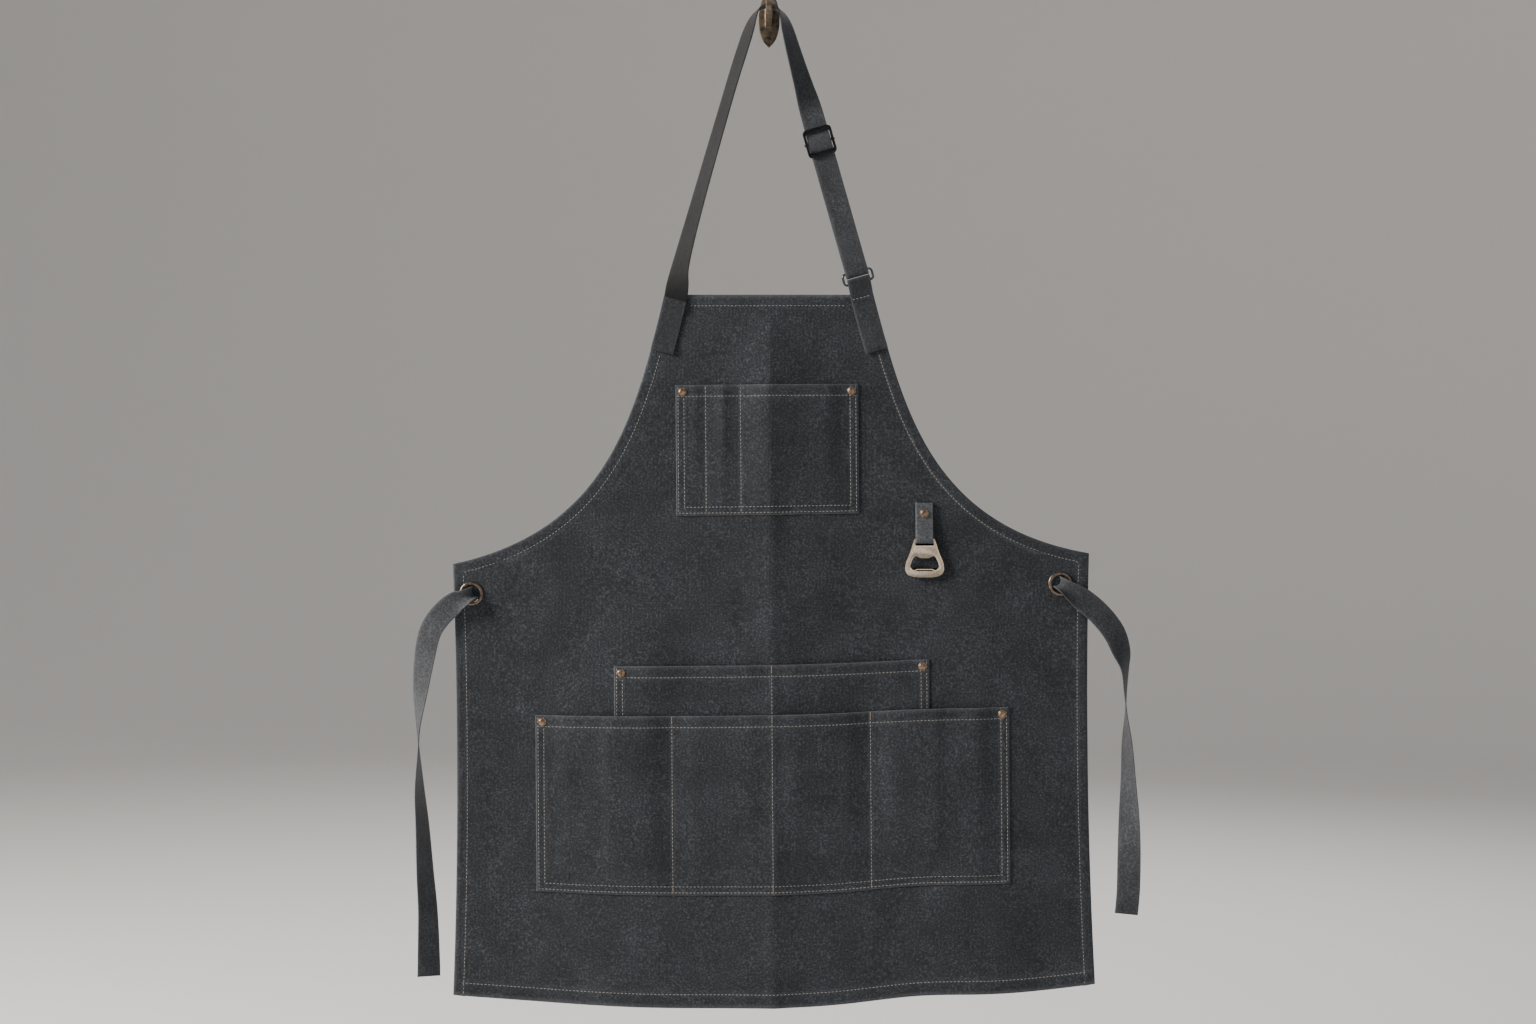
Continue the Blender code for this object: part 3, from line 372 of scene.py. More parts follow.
# The same webbing in darker colours, painted shade for the pieces sewn flat on the bib: as dark as the
# canvas
WEB_PAINTED_SHADE = woven("cotton_webbing_painted_shade", "#1d2024", "#292c31", "#3c4046", "#585c61", 1.3, pi / 4)
# The same webbing in paler colours, painted light for the opener's tab
WEB_PAINTED_LIGHT = woven("cotton_webbing_painted_light", "#33373b", "#464a4e", "#5b5f63", "#74787b", 1.3, pi / 4)
# each thread's second colour is its painted shade
THREAD_CREAM = spun("spun_polyester_thread", "#a5a29d", "#6d6b68")
THREAD_TAN = spun("spun_tan_thread", "#b98a5c", "#8a6845")
# Copper-plated steel, pressed and tarnished: brown in the dips, warm on the crown
COPPER = plated("antiqued_copper_plate", "#86715f", "#4a3f36", "#b39c86", 0.40, 0.5)
# Brass, rolled and oxidised: brown-gold, brighter on the roll
BRASS = plated("oxidised_rolled_brass", "#73675c", "#413a34", "#988a7b", 0.36, 0.6)
# Zinc casting with pale gold nickel, tumbled: bright satin with soft edges
NICKEL = plated("tumbled_champagne_nickel", "#d6c3ac", "#b39d86", "#efe0cd", 0.34, 0.35)
# Zinc casting with black nickel: near black, glossy, with light on its edges
BLACK_NICKEL = plated("black_nickel_casting", "#25272b", "#141518", "#3a3d42", 0.30, 0.4, 0.3)
# Drawn steel wire with the same plate, a little lighter
WIRE = plated("gunmetal_drawn_wire", "#4b4f52", "#26282b", "#7a7d80", 0.28, 0.4, 0.2)
# Cast iron with a bronzed skin: mottled brown and slate, rough
IRON = plated("bronzed_cast_iron", "#776c5e", "#3d3b39", "#9a8a72", 0.60, 1.1)


# Studio

def aim(obj, target):
    obj.rotation_euler = (Vector(target) - obj.location).to_track_quat("-Z", "Y").to_euler()


def soft_light(name, place, size, power, colour, target):
    bpy.ops.object.light_add(type="AREA", location=place)
    light = bpy.context.object
    light.name = name
    light.data.shape = "DISK"
    light.data.size = size
    light.data.energy = power
    light.data.color = linear(colour)[:3]
    aim(light, target)


def make_studio():
    nothing_selected()
    bpy.ops.object.camera_add(location=CAMERA_PLACE, rotation=(pi / 2, 0, 0))
    camera = bpy.context.object
    camera.data.lens = CAMERA_LENS
    bpy.context.scene.camera = camera
    middle = (0.0, 0.0, (cad_low.z + cad_high.z) / 2)
    soft_light("key", (-3.1, -1.05, 0.9), 1.2, 262, "#fff7f0", middle)
    soft_light("fill", (1.6, -3.0, -0.1), 2.2, 12, "#f2f6ff", middle)
    soft_light("back", (0.9, 2.4, 1.2), 1.8, 40, "#ffffff", middle)
    world = bpy.data.worlds.new("pale_room")
    bpy.context.scene.world = world
    world.use_nodes = True
    world.node_tree.nodes["Background"].inputs["Color"].default_value = linear("#e6e6e9")
    world.node_tree.nodes["Background"].inputs["Strength"].default_value = 0.30


def make_floor():
    """A flat floor that sweeps up all round, far off, so that no edge shows."""
    nothing_selected()
    level = cad_low.z - FLOOR_DROP
    bpy.ops.mesh.primitive_circle_add(vertices=96, radius=FLOOR_FLAT, fill_type="NGON",
                                      location=(0, 0, level))
    floor = bpy.context.object
    floor.name = "floor"
    bpy.ops.object.mode_set(mode="EDIT")
    bpy.ops.mesh.select_mode(type="EDGE")
    bpy.ops.mesh.select_all(action="SELECT")
    radius = FLOOR_FLAT
    step = pi / 2 / FLOOR_STEPS
    for i in range(1, FLOOR_STEPS + 1):
        wider = FLOOR_FLAT + FLOOR_SWEEP * sin(i * step)
        rise = FLOOR_SWEEP * (cos((i - 1) * step) - cos(i * step))
        bpy.ops.mesh.extrude_edges_move(TRANSFORM_OT_translate={"value": (0, 0, rise)})
        growth = wider / radius
        bpy.ops.transform.resize(value=(growth, growth, 1), center_override=(0, 0, level))
        radius = wider
    bpy.ops.object.mode_set(mode="OBJECT")
    settle(floor)
    round_shading(floor, 60)
    material, _, shader = blank("pale_floor_paint")
    shader.inputs["Base Color"].default_value = linear("#efedea")
    shader.inputs["Roughness"].default_value = 0.9
    floor.data.materials.append(material)


make_studio()
make_floor()


# The hanging cloth

def armhole(t):
    start = Vector((BIB_HALF, 0.0))
    end = Vector((CORNER_HALF, CORNER_DROP))
    start_way = Vector((sin(ARMHOLE_START_ANGLE), cos(ARMHOLE_START_ANGLE)))
    end_way = Vector((cos(ARMHOLE_END_ANGLE), sin(ARMHOLE_END_ANGLE)))
    pull_start = start + ARMHOLE_START_PULL * start_way
    pull_end = end - ARMHOLE_END_PULL * end_way
    return ((1 - t) ** 3 * start + 3 * (1 - t) ** 2 * t * pull_start
            + 3 * (1 - t) * t * t * pull_end + t ** 3 * end)


def skirt_half(v):
    t = (v - CORNER_DROP) / (APRON_LENGTH - CORNER_DROP)
    return lerp(CORNER_HALF, HEM_HALF, t) - SIDE_NIP * 4 * t * (1 - t)


def half_width(v):
    if v >= CORNER_DROP:
        return skirt_half(v)
    low, high = 0.0, 1.0
    for _ in range(40):
        middle = (low + high) / 2
        if armhole(middle).y < v:
            low = middle
        else:
            high = middle
    return armhole(low).x


def edge_line(count):
    """The apron's right edge from the bib's top to the hem as (u, v)."""
    curve = [armhole(i / count) for i in range(count)]
    drop = APRON_LENGTH - CORNER_DROP
    return curve + [Vector((skirt_half(CORNER_DROP + drop * i / count), CORNER_DROP + drop * i / count))
                    for i in range(count + 1)]


def stand_off(u, v):
    down = v / APRON_LENGTH
    crease = CREASE_HEIGHT * exp(-abs(u) / CREASE_SPREAD) * smooth((v + 0.02) / 0.10)
    folds = sum(height * bump(u - across, spread) for across, height, spread in FOLDS)
    return WALL_GAP + HEM_STAND_OFF * down + crease + folds * smooth((v - 0.15) / 0.35)


def hang(u, v, out=0.0):
    down = v / APRON_LENGTH
    tilt = HANG_TILT * min(1.0, v / CORNER_DROP)
    sag = HEM_SAG * down ** 2 * (1 - (u / HEM_HALF) ** 2)
    lift = SIDE_LIFT * down ** 2 * bump(u - SIDE_LIFT_U, SIDE_LIFT_SPREAD)
    return Vector((u + HANG_LEAN * v, -stand_off(u, v) - out, BIB_TOP_Z - v + tilt * u - sag + lift))


RIVET_INSET = 0.0072
EYELET_LEFT_INSET = 0.0187
EYELET_RIGHT_INSET = 0.0303
EYELET_DROP = 0.3172
TAB_U = 0.1658
TAB_TOP = 0.2265
TAB_WIDTH = 0.0186
TAB_RIVET_DROP = 0.0115


def fixings():
    """Places where hard pieces hold the cloth, as (u, v)."""
    chest = CHEST_TOP + RIVET_INSET
    upper = UPPER_TOP + RIVET_INSET
    lower = LOWER_TOP + RIVET_INSET
    half = half_width(EYELET_DROP)
    return ((CHEST_LEFT + RIVET_INSET, chest), (CHEST_RIGHT - RIVET_INSET, chest),
            (-UPPER_HALF + RIVET_INSET, upper), (UPPER_HALF - RIVET_INSET, upper),
            (-LOWER_HALF + RIVET_INSET, lower), (LOWER_HALF - RIVET_INSET, lower),
            (TAB_U, TAB_TOP + TAB_RIVET_DROP), (-half + EYELET_LEFT_INSET, EYELET_DROP),
            (half - EYELET_RIGHT_INSET, EYELET_DROP))


FIXINGS = fixings()
CALM_REACH = 0.030            # the cloth lies as drawn this near to a fixing
WRINKLE = 0.0011
WRINKLE_WIDE = 0.085
WRINKLE_FINE = 0.030
PRESSED_CREASE = 0.0022       # the sharp middle of the centre crease
PRESSED_SPREAD = 0.028


def wrinkle(u, v):
    """Soft unevenness of washed cloth, none where a rivet, an eyelet or a strap holds it."""
    calm = smooth((v - 0.05) / 0.05)
    for x, y in FIXINGS:
        calm *= smooth(sqrt((u - x) ** 2 + (v - y) ** 2) / CALM_REACH - 0.35)
    wide = noise.noise(Vector((u / WRINKLE_WIDE, v / WRINKLE_WIDE * 0.6, 3.1)))
    fine = noise.noise(Vector((u / WRINKLE_FINE, v / WRINKLE_FINE * 0.8, 7.7)))
    pressed = PRESSED_CREASE * exp(-abs(u) / PRESSED_SPREAD) * smooth(v / 0.05)
    return calm * WRINKLE * (wide + 0.35 * fine) + pressed


def drape(u, v, out=0.0):
    return hang(u, v, out + wrinkle(u, v))


def lift_between(u, seams):
    for left, right in zip(seams, seams[1:]):
        if left <= u <= right:
            margin_left = EDGE_MARGIN if left == seams[0] else BULGE_MARGIN
            margin_right = EDGE_MARGIN if right == seams[-1] else BULGE_MARGIN
            free = min(u - left - margin_left, right - u - margin_right)
            return smooth(free / BULGE_RISE)
    return 0.0


ON_PANEL = CLOTH / 2 + LAYER_GAP + CLOTH / 2
OVER_UPPER = CLOTH + LAYER_GAP
CHEST_SEAMS = (CHEST_LEFT, *CHEST_DIVIDERS, CHEST_RIGHT)
UPPER_SEAMS = (-UPPER_HALF, 0.0, UPPER_HALF)
LOWER_SEAMS = (-LOWER_HALF, *LOWER_DIVIDERS, LOWER_HALF)


def chest_offset(u, v):
    down = (v - CHEST_TOP) / (CHEST_BOTTOM - CHEST_TOP)
    return ON_PANEL + CHEST_BULGE * lift_between(u, CHEST_SEAMS) * (1 - down * down)


def upper_offset(u, v):
    down = (v - UPPER_TOP) / (LOWER_TOP - UPPER_TOP)
    return ON_PANEL + UPPER_BULGE * lift_between(u, UPPER_SEAMS) * (1 - smooth(down * 0.95))


def lower_offset(u, v):
    down = (v - LOWER_TOP) / (LOWER_BOTTOM - LOWER_TOP)
    aside = smooth((UPPER_HALF + STEP_MARGIN + STEP_RISE - abs(u)) / STEP_RISE)
    above = smooth((UPPER_BOTTOM + STEP_MARGIN + STEP_RISE - v) / STEP_RISE)
    base = ON_PANEL + OVER_UPPER * aside * above
    return base + LOWER_BULGE * lift_between(u, LOWER_SEAMS) * (1 - down * down)


POCKETS = {                   # seams across, top, bottom, and how far the cloth stands off
    "chest": (CHEST_SEAMS, CHEST_TOP, CHEST_BOTTOM, chest_offset),
    "upper": (UPPER_SEAMS, UPPER_TOP, UPPER_BOTTOM, upper_offset),
    "lower": (LOWER_SEAMS, LOWER_TOP, LOWER_BOTTOM, lower_offset),
}
FACE_HALF = 0.00050           # half the thickness of the cloth as it shows
HEM_RISE = 0.00040            # a turned hem is three cloths thick
SEAM_DEPTH = 0.00038
SEAM_HALF = 0.0013
EDGE_ROLL = 0.0013
POCKET_WRINKLE = 0.0004


def seam_groove(distance):
    """The thread pulls the cloth down along a seam."""
    return -SEAM_DEPTH * bump(distance, SEAM_HALF)


def rolled_edge(distance):
    """The fold at an edge turns away from the viewer."""
    near = max(0.0, 1 - distance / EDGE_ROLL)
    return -0.0009 * near * near


def pucker(u, v, distance):
    """Small gathers that cross a seam."""
    return 0.00030 * bump(distance, 0.006) * noise.noise(Vector((u / 0.008, v / 0.008, 1.3)))


def hem(u, v, distance, width):
    """Rise and rubbing of a turned hem at this distance from its edge."""
    band = smooth((width + 0.0015 - distance) / 0.002)
    rise = HEM_RISE * band + seam_groove(distance - width) + rolled_edge(distance)
    rise += pucker(u, v, distance - width)
    rub = 0.85 * exp(-distance / 0.0011) + 0.30 * bump(distance - width, 0.0016)
    return rise, rub


def cloth_piece(name, points, flat, rub, thickness, painted_shade=None):
    """A fine grid of cloth: rows of places, their flat pattern places, and how rubbed each is.

    The last argument gives for each row how much painted shade darkens it."""
    rows, columns = len(points), len(points[0])
    nothing_selected()
    bpy.ops.mesh.primitive_grid_add(x_subdivisions=columns - 1, y_subdivisions=rows - 1, size=1.0)
    obj = bpy.context.object
    obj.name = name
    mesh = obj.data
    places = np.array([[tuple(p) for p in row] for row in points[::-1]], np.float32)
    mesh.vertices.foreach_set("co", places.ravel())
    pattern = np.array([[(p[0], -p[1]) for p in row] for row in flat[::-1]], np.float32).reshape(-1, 2)
    corners = np.zeros(len(mesh.loops), np.int32)
    mesh.loops.foreach_get("vertex_index", corners)
    mesh.uv_layers.active.data.foreach_set("uv", pattern[corners].ravel())
    values = np.array(rub[::-1], np.float32).ravel()
    mesh.attributes.new("rub", "FLOAT", "POINT").data.foreach_set("value", values)
    # painted shade for each row, kept in the mesh for the material to darken it
    if painted_shade:
        values = np.repeat(np.array(painted_shade[::-1], np.float32), columns)
        mesh.attributes.new("painted_shade", "FLOAT", "POINT").data.foreach_set("value", values)
    mesh.update()
    solidify = obj.modifiers.new("cloth", "SOLIDIFY")
    solidify.thickness = thickness
    solidify.offset = 0.0
    solidify.use_even_offset = True
    rim = obj.modifiers.new("folded_edge", "BEVEL")
    rim.width = 0.3 * thickness
    rim.segments = 2
    rim.angle_limit = 65 * pi / 180
    apply_all(obj)
    return round_shading(obj, 50)


def webbing(name, stations, thickness, curls=None, columns=8, painted_shade=None):
    """Webbing through (centre, half-width vector) stations; a curl bends its edges away behind it."""
    centres = [centre for centre, _ in stations]
    curls = curls or [0.0] * len(stations)
    # rubbed edges are left off where shade is painted on
    worn = [1 - depth for depth in painted_shade] if painted_shade else [1.0] * len(stations)
    shares = [2 * i / columns - 1 for i in range(columns + 1)]
    points, flat, rub = [], [], []
    run = 0.0
    before = centres[0]
    for (centre, half), along, curl, unshaded in zip(stations, tangents(centres), curls, worn):
        run += (centre - before).length
        before = centre
        behind = along.cross(half).normalized()
        points.append([centre + half * s * (1 - 0.3 * curl * s * s)
                       + behind * (curl * s * s * half.length) for s in shares])
        flat.append([(s * half.length, run) for s in shares])
        rub.append([0.55 * unshaded * smooth((abs(s) - 0.7) / 0.3) for s in shares])
    return cloth_piece(name, points, flat, rub, thickness, painted_shade)


# Waist ties: the routes of the frame's own ties

LEFT_TIE_ROUTE = (
    (-0.3214, -0.0139, -0.6233, 0, 0.64),
    (-0.3214, -0.0180, -0.6234, 0, 0.64),
    (-0.3222, -0.0205, -0.6238, 0, 0.66),
    (-0.3252, -0.0224, -0.6256, 0, 0.72),
    (-0.3310, -0.0226, -0.6288, 0, 0.86),
    (-0.3390, -0.0222, -0.6330, 0, 0.98),
    (-0.3540, -0.0215, -0.6470, 4, 1.00),
    (-0.3650, -0.0205, -0.6640, 10, 1.00),
    (-0.3710, -0.0195, -0.6890, 20, 1.00),
    (-0.3760, -0.0185, -0.7270, 43, 1.00),
    (-0.3785, -0.0180, -0.7650, 72, 1.00),
    (-0.3780, -0.0180, -0.7940, 84, 1.00),
    (-0.3770, -0.0180, -0.8350, 104, 1.00),
    (-0.3740, -0.0180, -0.8730, 115, 1.00),
    (-0.3710, -0.0180, -0.9240, 127, 1.00),
    (-0.3680, -0.0180, -0.9670, 137, 1.00),
    (-0.3670, -0.0180, -1.0180, 153, 1.00),
    (-0.3670, -0.0180, -1.0360, 160, 1.00),
)
RIGHT_TIE_ROUTE = (
    (0.3146, -0.0139, -0.6126, 0, 0.64),
    (0.3146, -0.0180, -0.6127, 0, 0.64),
    (0.3154, -0.0205, -0.6132, 0, 0.66),
    (0.3184, -0.0224, -0.6152, 0, 0.72),
    (0.3250, -0.0226, -0.6198, 0, 0.86),
    (0.3360, -0.0222, -0.6278, 0, 0.98),
    (0.3550, -0.0215, -0.6436, -3, 1.00),
    (0.3715, -0.0205, -0.6640, -10, 1.00),
    (0.3805, -0.0190, -0.6860, -32, 1.00),
    (0.3842, -0.0185, -0.7040, -62, 1.00),
    (0.3848, -0.0180, -0.7270, -75, 1.00),
    (0.3856, -0.0180, -0.7540, -86, 1.00),
    (0.3866, -0.0180, -0.7860, -107, 1.00),
    (0.3880, -0.0180, -0.8290, -122, 1.00),
    (0.3888, -0.0180, -0.8830, -152, 1.00),
    (0.3880, -0.0180, -0.9400, -176, 1.00),
    (0.3856, -0.0180, -0.9690, -180, 1.00),
)
TIE_SPAN_POINTS = 6
TIE_CURL = 0.62               # how far the webbing folds up where it comes out of its eyelet
TIE_CURL_LENGTH = 0.034
KNOT_POINTS = 60
KNOT_LOOP = 0.24
KNOT_CROSSING = 0.45
KNOT_PLY = 0.0022
KNOT_PLY_HALF = 0.0034


def tie_stations(route):
    points = smooth_path(route, TIE_SPAN_POINTS)
    centres = [Vector(point[:3]) for point in points]
    stations = []
    for centre, tangent, point in zip(centres, tangents(centres), points):
        along = Vector((tangent.x, 0.0, tangent.z))
        if along.length < 0.3:
            along = Vector((route[5][0] - route[1][0], 0.0, route[5][2] - route[1][2]))
        across = along.normalized().cross(Vector((0.0, 1.0, 0.0)))
        normal = tangent.cross(across).normalized()
        angle = point[3] * pi / 180
        stations.append((centre, (across * cos(angle) + normal * sin(angle)) * TIE_WIDTH * point[4] / 2))
    return stations


def make_knot(side):
    """A stopper knot behind the eyelet: the webbing tied over itself and pulled tight."""
    low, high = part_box(f"tie_{side}_knot")
    middle = (low + high) / 2
    wide, deep, tall = (high - low) / 2
    centres = []
    for i in range(KNOT_POINTS + 1):
        t = 2 * pi * i / KNOT_POINTS
        centres.append(Vector((middle.x + KNOT_LOOP * wide * (sin(t) + 2 * sin(2 * t)),
                               middle.y - KNOT_CROSSING * deep * sin(3 * t),
                               middle.z + KNOT_LOOP * tall * (cos(t) - 2 * cos(2 * t)))))
    stations = [(centre, along.cross(Vector((0.0, 1.0, 0.0))).normalized() * KNOT_PLY_HALF)
                for centre, along in zip(centres, tangents(centres))]
    knot = webbing(f"tie_{side}_stopper_knot", stations, KNOT_PLY, [0.35] * len(stations), 4)
    return finish_piece(knot, WEB, f"{side}_tie", (f"tie_{side}_knot",))


def make_tie(side, route):
    knot = make_knot(side)
    stations = tie_stations(route)
    centres = [centre for centre, _ in stations]
    run, curls = 0.0, []
    for a, b in zip([centres[0]] + centres, centres):
        run += (b - a).length
        curls.append(TIE_CURL * (1 - smooth((run - 0.004) / TIE_CURL_LENGTH)))
    tie = webbing(f"tie_{side}_webbing", stations, WEBBING * 0.9, curls)
    finish_piece(tie, WEB, f"{side}_tie", (f"tie_{side}",))
    tuple(centres[0])
    round(length_of(centres), 3)
    [tuple(c) for c in centres]


make_tie("left", LEFT_TIE_ROUTE)
make_tie("right", RIGHT_TIE_ROUTE)


# Apron cloth

PANEL_COLUMNS = 150
ARMHOLE_ROWS = 84
SKIRT_ROWS = 92


def panel_rows():
    for i in range(ARMHOLE_ROWS):
        half, v = armhole(i / ARMHOLE_ROWS)
        yield half, v
    for i in range(SKIRT_ROWS + 1):
        v = lerp(CORNER_DROP, APRON_LENGTH, i / SKIRT_ROWS)
        yield skirt_half(v), v


def from_side(u, half, slope):
    """Distance in from the side edge, square to it."""
    return (half - abs(u)) / sqrt(1 + slope * slope)


def make_panel():
    points, flat, rub = [], [], []
    shares = [2 * j / PANEL_COLUMNS - 1 for j in range(PANEL_COLUMNS + 1)]
    shares = [(1 - (1 - abs(s)) ** 1.2) * (1 if s > 0 else -1) for s in shares]
    rows = list(panel_rows())
    for i, (half, v) in enumerate(rows):
        before, after = rows[max(i - 1, 0)], rows[min(i + 1, len(rows) - 1)]
        slope = min(4.7, (after[0] - before[0]) / max(after[1] - before[1], 1e-6))
        point_row, flat_row, rub_row = [], [], []
        for share in shares:
            u = half * share
            rise_side, rub_side = hem(u, v, from_side(u, half, slope), SIDE_HEM)
            rise_top, rub_top = hem(u, v, v, TOP_HEM)
            rise_low, rub_low = hem(u, v, APRON_LENGTH - v, BOTTOM_HEM)
            rise = min(max(rise_side, rise_top, rise_low, key=abs), HEM_RISE)
            point_row.append(drape(u, v, rise))
            flat_row.append((u, v))
            rub_row.append(min(1.0, rub_side + rub_top + rub_low))
        points.append(point_row)
        flat.append(flat_row)
        rub.append(rub_row)
    panel = cloth_piece("apron_cloth", points, flat, rub, 2 * FACE_HALF)
    return finish_piece(panel, CANVAS, "apron", ("apron_panel",))


TURNING = 0.0008              # thickness of the turned-in cloth behind a hem
TURNING_GAP = 0.0001
PAST_SEAM = 0.0012            # how far a turning goes in past its seam
OVER_TURNING = 2.2            # where one turning lies over another, in places of the first


def turning(name, line, width, inwards, out):
    """The strip that a hem turns in behind the cloth: line is its outer edge on the pattern."""
    points, flat, rub = [], [], []
    columns = 4
    for (u, v), (nu, nv) in zip(line, inwards):
        row = [(u + nu * width * j / columns, v + nv * width * j / columns) for j in range(columns + 1)]
        points.append([drape(a, b, out) for a, b in row])
        flat.append(row)
        rub.append([0.5, 0.0, 0.0, 0.0, 0.2])
    strip = cloth_piece(name, points, flat, rub, TURNING)
    return finish_piece(strip, CANVAS, "apron")


def normals_in(line, side):
    """For each point of a line on the pattern, the way square to it towards the cloth's middle."""
    last = len(line) - 1
    ways = []
    for i in range(last + 1):
        a, b = line[max(i - 1, 0)], line[min(i + 1, last)]
        du, dv = b[0] - a[0], b[1] - a[1]
        size = sqrt(du * du + dv * dv)
        ways.append((-side * dv / size, side * du / size))
    return ways


def make_turnings():
    behind = -(FACE_HALF + TURNING / 2 + TURNING_GAP)
    pieces = []
    for side, label in ((-1, "left"), (1, "right")):
        line = [(side * u, v) for u, v in edge_line(70)]
        line = [(u - side * 0.0004, v) for u, v in line]
        pieces.append(turning(f"side_hem_{label}", line, SIDE_HEM + PAST_SEAM, normals_in(line, side),
                              behind))
    count = 90
    half = skirt_half(APRON_LENGTH) - 0.0004
    low = [(lerp(-half, half, i / count), APRON_LENGTH - 0.0004) for i in range(count + 1)]
    pieces.append(turning("bottom_hem", low, BOTTOM_HEM + PAST_SEAM, [(0, -1)] * len(low),
                          OVER_TURNING * behind))
    half = BIB_HALF - 0.0006
    top = [(lerp(-half, half, i / 40), 0.0004) for i in range(41)]
    pieces.append(turning("bib_hem", top, TOP_HEM + PAST_SEAM, [(0, 1)] * len(top),
                          OVER_TURNING * behind))
    return pieces


def lines_between(stops, pitch):
    lines = [stops[0]]
    for start, end in zip(stops, stops[1:]):
        count = max(1, ceil((end - start) / pitch))
        lines += [lerp(start, end, (i + 1) / count) for i in range(count)]
    return lines


def near(value, stops):
    return min(abs(value - stop) for stop in stops)


def pocket_out(u, v, pocket):
    """How far the pocket's cloth stands off the panel, its hem and seams included."""
    seams, top, bottom, offset = pocket
    d_side = min(u - seams[0], seams[-1] - u)
    d_low = bottom - v
    d_top = v - top
    out = offset(u, v) + HEM_RISE * smooth((POCKET_HEM + 0.001 - d_top) / 0.002)
    out += seam_groove(d_top - POCKET_HEM) + seam_groove(near(u, seams[1:-1]))
    for row, share in ((OUTER_ROW, 0.6), (INNER_ROW, 0.8)):
        out += share * (seam_groove(d_side - row) + seam_groove(d_low - row))
    out += rolled_edge(min(d_side, d_low)) + 0.6 * rolled_edge(d_top)
    out += pucker(u, v, min(d_low - INNER_ROW, d_side - INNER_ROW, d_top - POCKET_HEM, key=abs))
    return out + POCKET_WRINKLE * noise.noise(Vector((u / 0.028, v / 0.035, 5.2)))


def make_pocket(which, pitch):
    """A patch pocket: turned edges, a hemmed mouth, and grooves along all its seams."""
    name = which + "_pocket_cloth"
    pocket = POCKETS[which]
    seams, top, bottom, offset = pocket
    left, right = seams[0], seams[-1]
    edge_stops = [EDGE_ROLL / 2, EDGE_ROLL, OUTER_ROW, 0.0045, INNER_ROW, EDGE_MARGIN]
    stops = sorted({*seams, 0.0, *(left + s for s in edge_stops), *(right - s for s in edge_stops)})
    columns = lines_between(stops, pitch)
    rows = lines_between(sorted({
        top, top + EDGE_ROLL / 2, top + EDGE_ROLL, top + POCKET_HEM - 0.0015, top + POCKET_HEM,
        top + POCKET_HEM + 0.0015, bottom - INNER_ROW, bottom - OUTER_ROW, bottom - EDGE_ROLL,
        bottom - EDGE_ROLL / 2, bottom}), pitch)
    dividers = seams[1:-1]
    points, flat, rub, inner_points, inner_flat, inner_rub = [], [], [], [], [], []
    for v in rows:
        point_row, flat_row, rub_row, inner_row = [], [], [], []
        for u in columns:
            d_side = min(u - left, right - u)
            d_low = bottom - v
            d_top = v - top
            point_row.append(drape(u, v, pocket_out(u, v, pocket)))
            flat_row.append((u, v))
            edge = min(d_side, d_low, d_top)
            rub_row.append(min(1.0, 0.9 * exp(-edge / 0.0012) + 0.35 * bump(d_top - POCKET_HEM, 0.0015)
                               + 0.30 * bump(d_side - INNER_ROW, 0.0014)
                               + 0.35 * bump(near(u, dividers), 0.0016)))
            inner_row.append(drape(u, v, max(offset(u, v) - 0.0011, ON_PANEL - 0.0007)))
        points.append(point_row)
        flat.append(flat_row)
        rub.append(rub_row)
        if d_top <= POCKET_HEM + 0.0016:
            inner_points.append(inner_row)
            inner_flat.append(flat_row)
            inner_rub.append([0.3] * len(columns))
    cloth = cloth_piece(name, points, flat, rub, 2 * FACE_HALF)
    finish_piece(cloth, CANVAS, "apron", (which + "_pocket",))
    inner = cloth_piece(name + "_mouth_hem", inner_points, inner_flat, inner_rub, TURNING)
    finish_piece(inner, CANVAS, "apron")


panel = make_panel()
turnings = make_turnings()
make_pocket("chest", 0.0032)
make_pocket("upper", 0.0038)
make_pocket("lower", 0.0036)


# Neck strap, ring loop, anchors and the opener's tab

STRAP_FOLD = RING_WIRE / 2 + GAP + WEBBING / 2
SEAM_RELIEF = 0.0010
RING_RISE = 0.0190
RING_SHIFT = 0.0039
RING_HEIGHT = 0.0146
TWIST_END = 0.386
TWIST_END_Y = -0.0205
SLIDER_DOWN = 0.0260
TAIL_PAST_BAR = 0.0030
TAIL_TURNED = 0.0150          # the tail's end is turned back on itself behind the bar
CROWN_RISE = 0.0146
CROWN_END_Z = 0.0106 - CROWN_RISE
LEFT_SEAM = hang(-(half_width(0.0) - STRAP_INSET), 0.0)
RIGHT_SEAM = hang(half_width(0.0) - STRAP_INSET, 0.0)
CROWN = (
    (-0.0176, 0.0, 20),
    (-0.0125, 0.0090, 10),
    (-0.0065, 0.0134, 3),
    (0.0, CROWN_RISE, 0),
    (0.0065, 0.0134, 3),
    (0.0125, 0.0090, 12),
    (0.0170, 0.0, 24),
)
LEFT_LEG = (
    (0.04, 0.0009, -0.0228, 28),
    (0.10, 0.0017, -0.0226, 31),
    (0.20, 0.0028, -0.0220, 31),
    (0.31, 0.0034, -0.0212, 31),
    (0.47, 0.0040, -0.0200, 33),
    (0.64, 0.0044, -0.0185, 36),
    (0.80, 0.0044, -0.0168, 42),
    (0.91, 0.0036, -0.0154, 52),
)
RIGHT_LEG = (
    (0.11, 0.0001, -0.0228, 33),
    (0.28, -0.0002, -0.0224, 40),
    (0.49, -0.0002, -0.0218, 48),
    (0.70, 0.0, -0.0212, 60),
    (0.85, 0.0001, -0.0208, 76),
)
RING_CENTRE = Vector((RIGHT_SEAM.x - RING_SHIFT, FOLD_LINE_Y, BIB_TOP_Z + RING_RISE))
TWIST_POINT = Vector((CROWN[-1][0], 0.0, CROWN_END_Z)).lerp(RING_CENTRE, TWIST_END)
TWIST_POINT.y = TWIST_END_Y
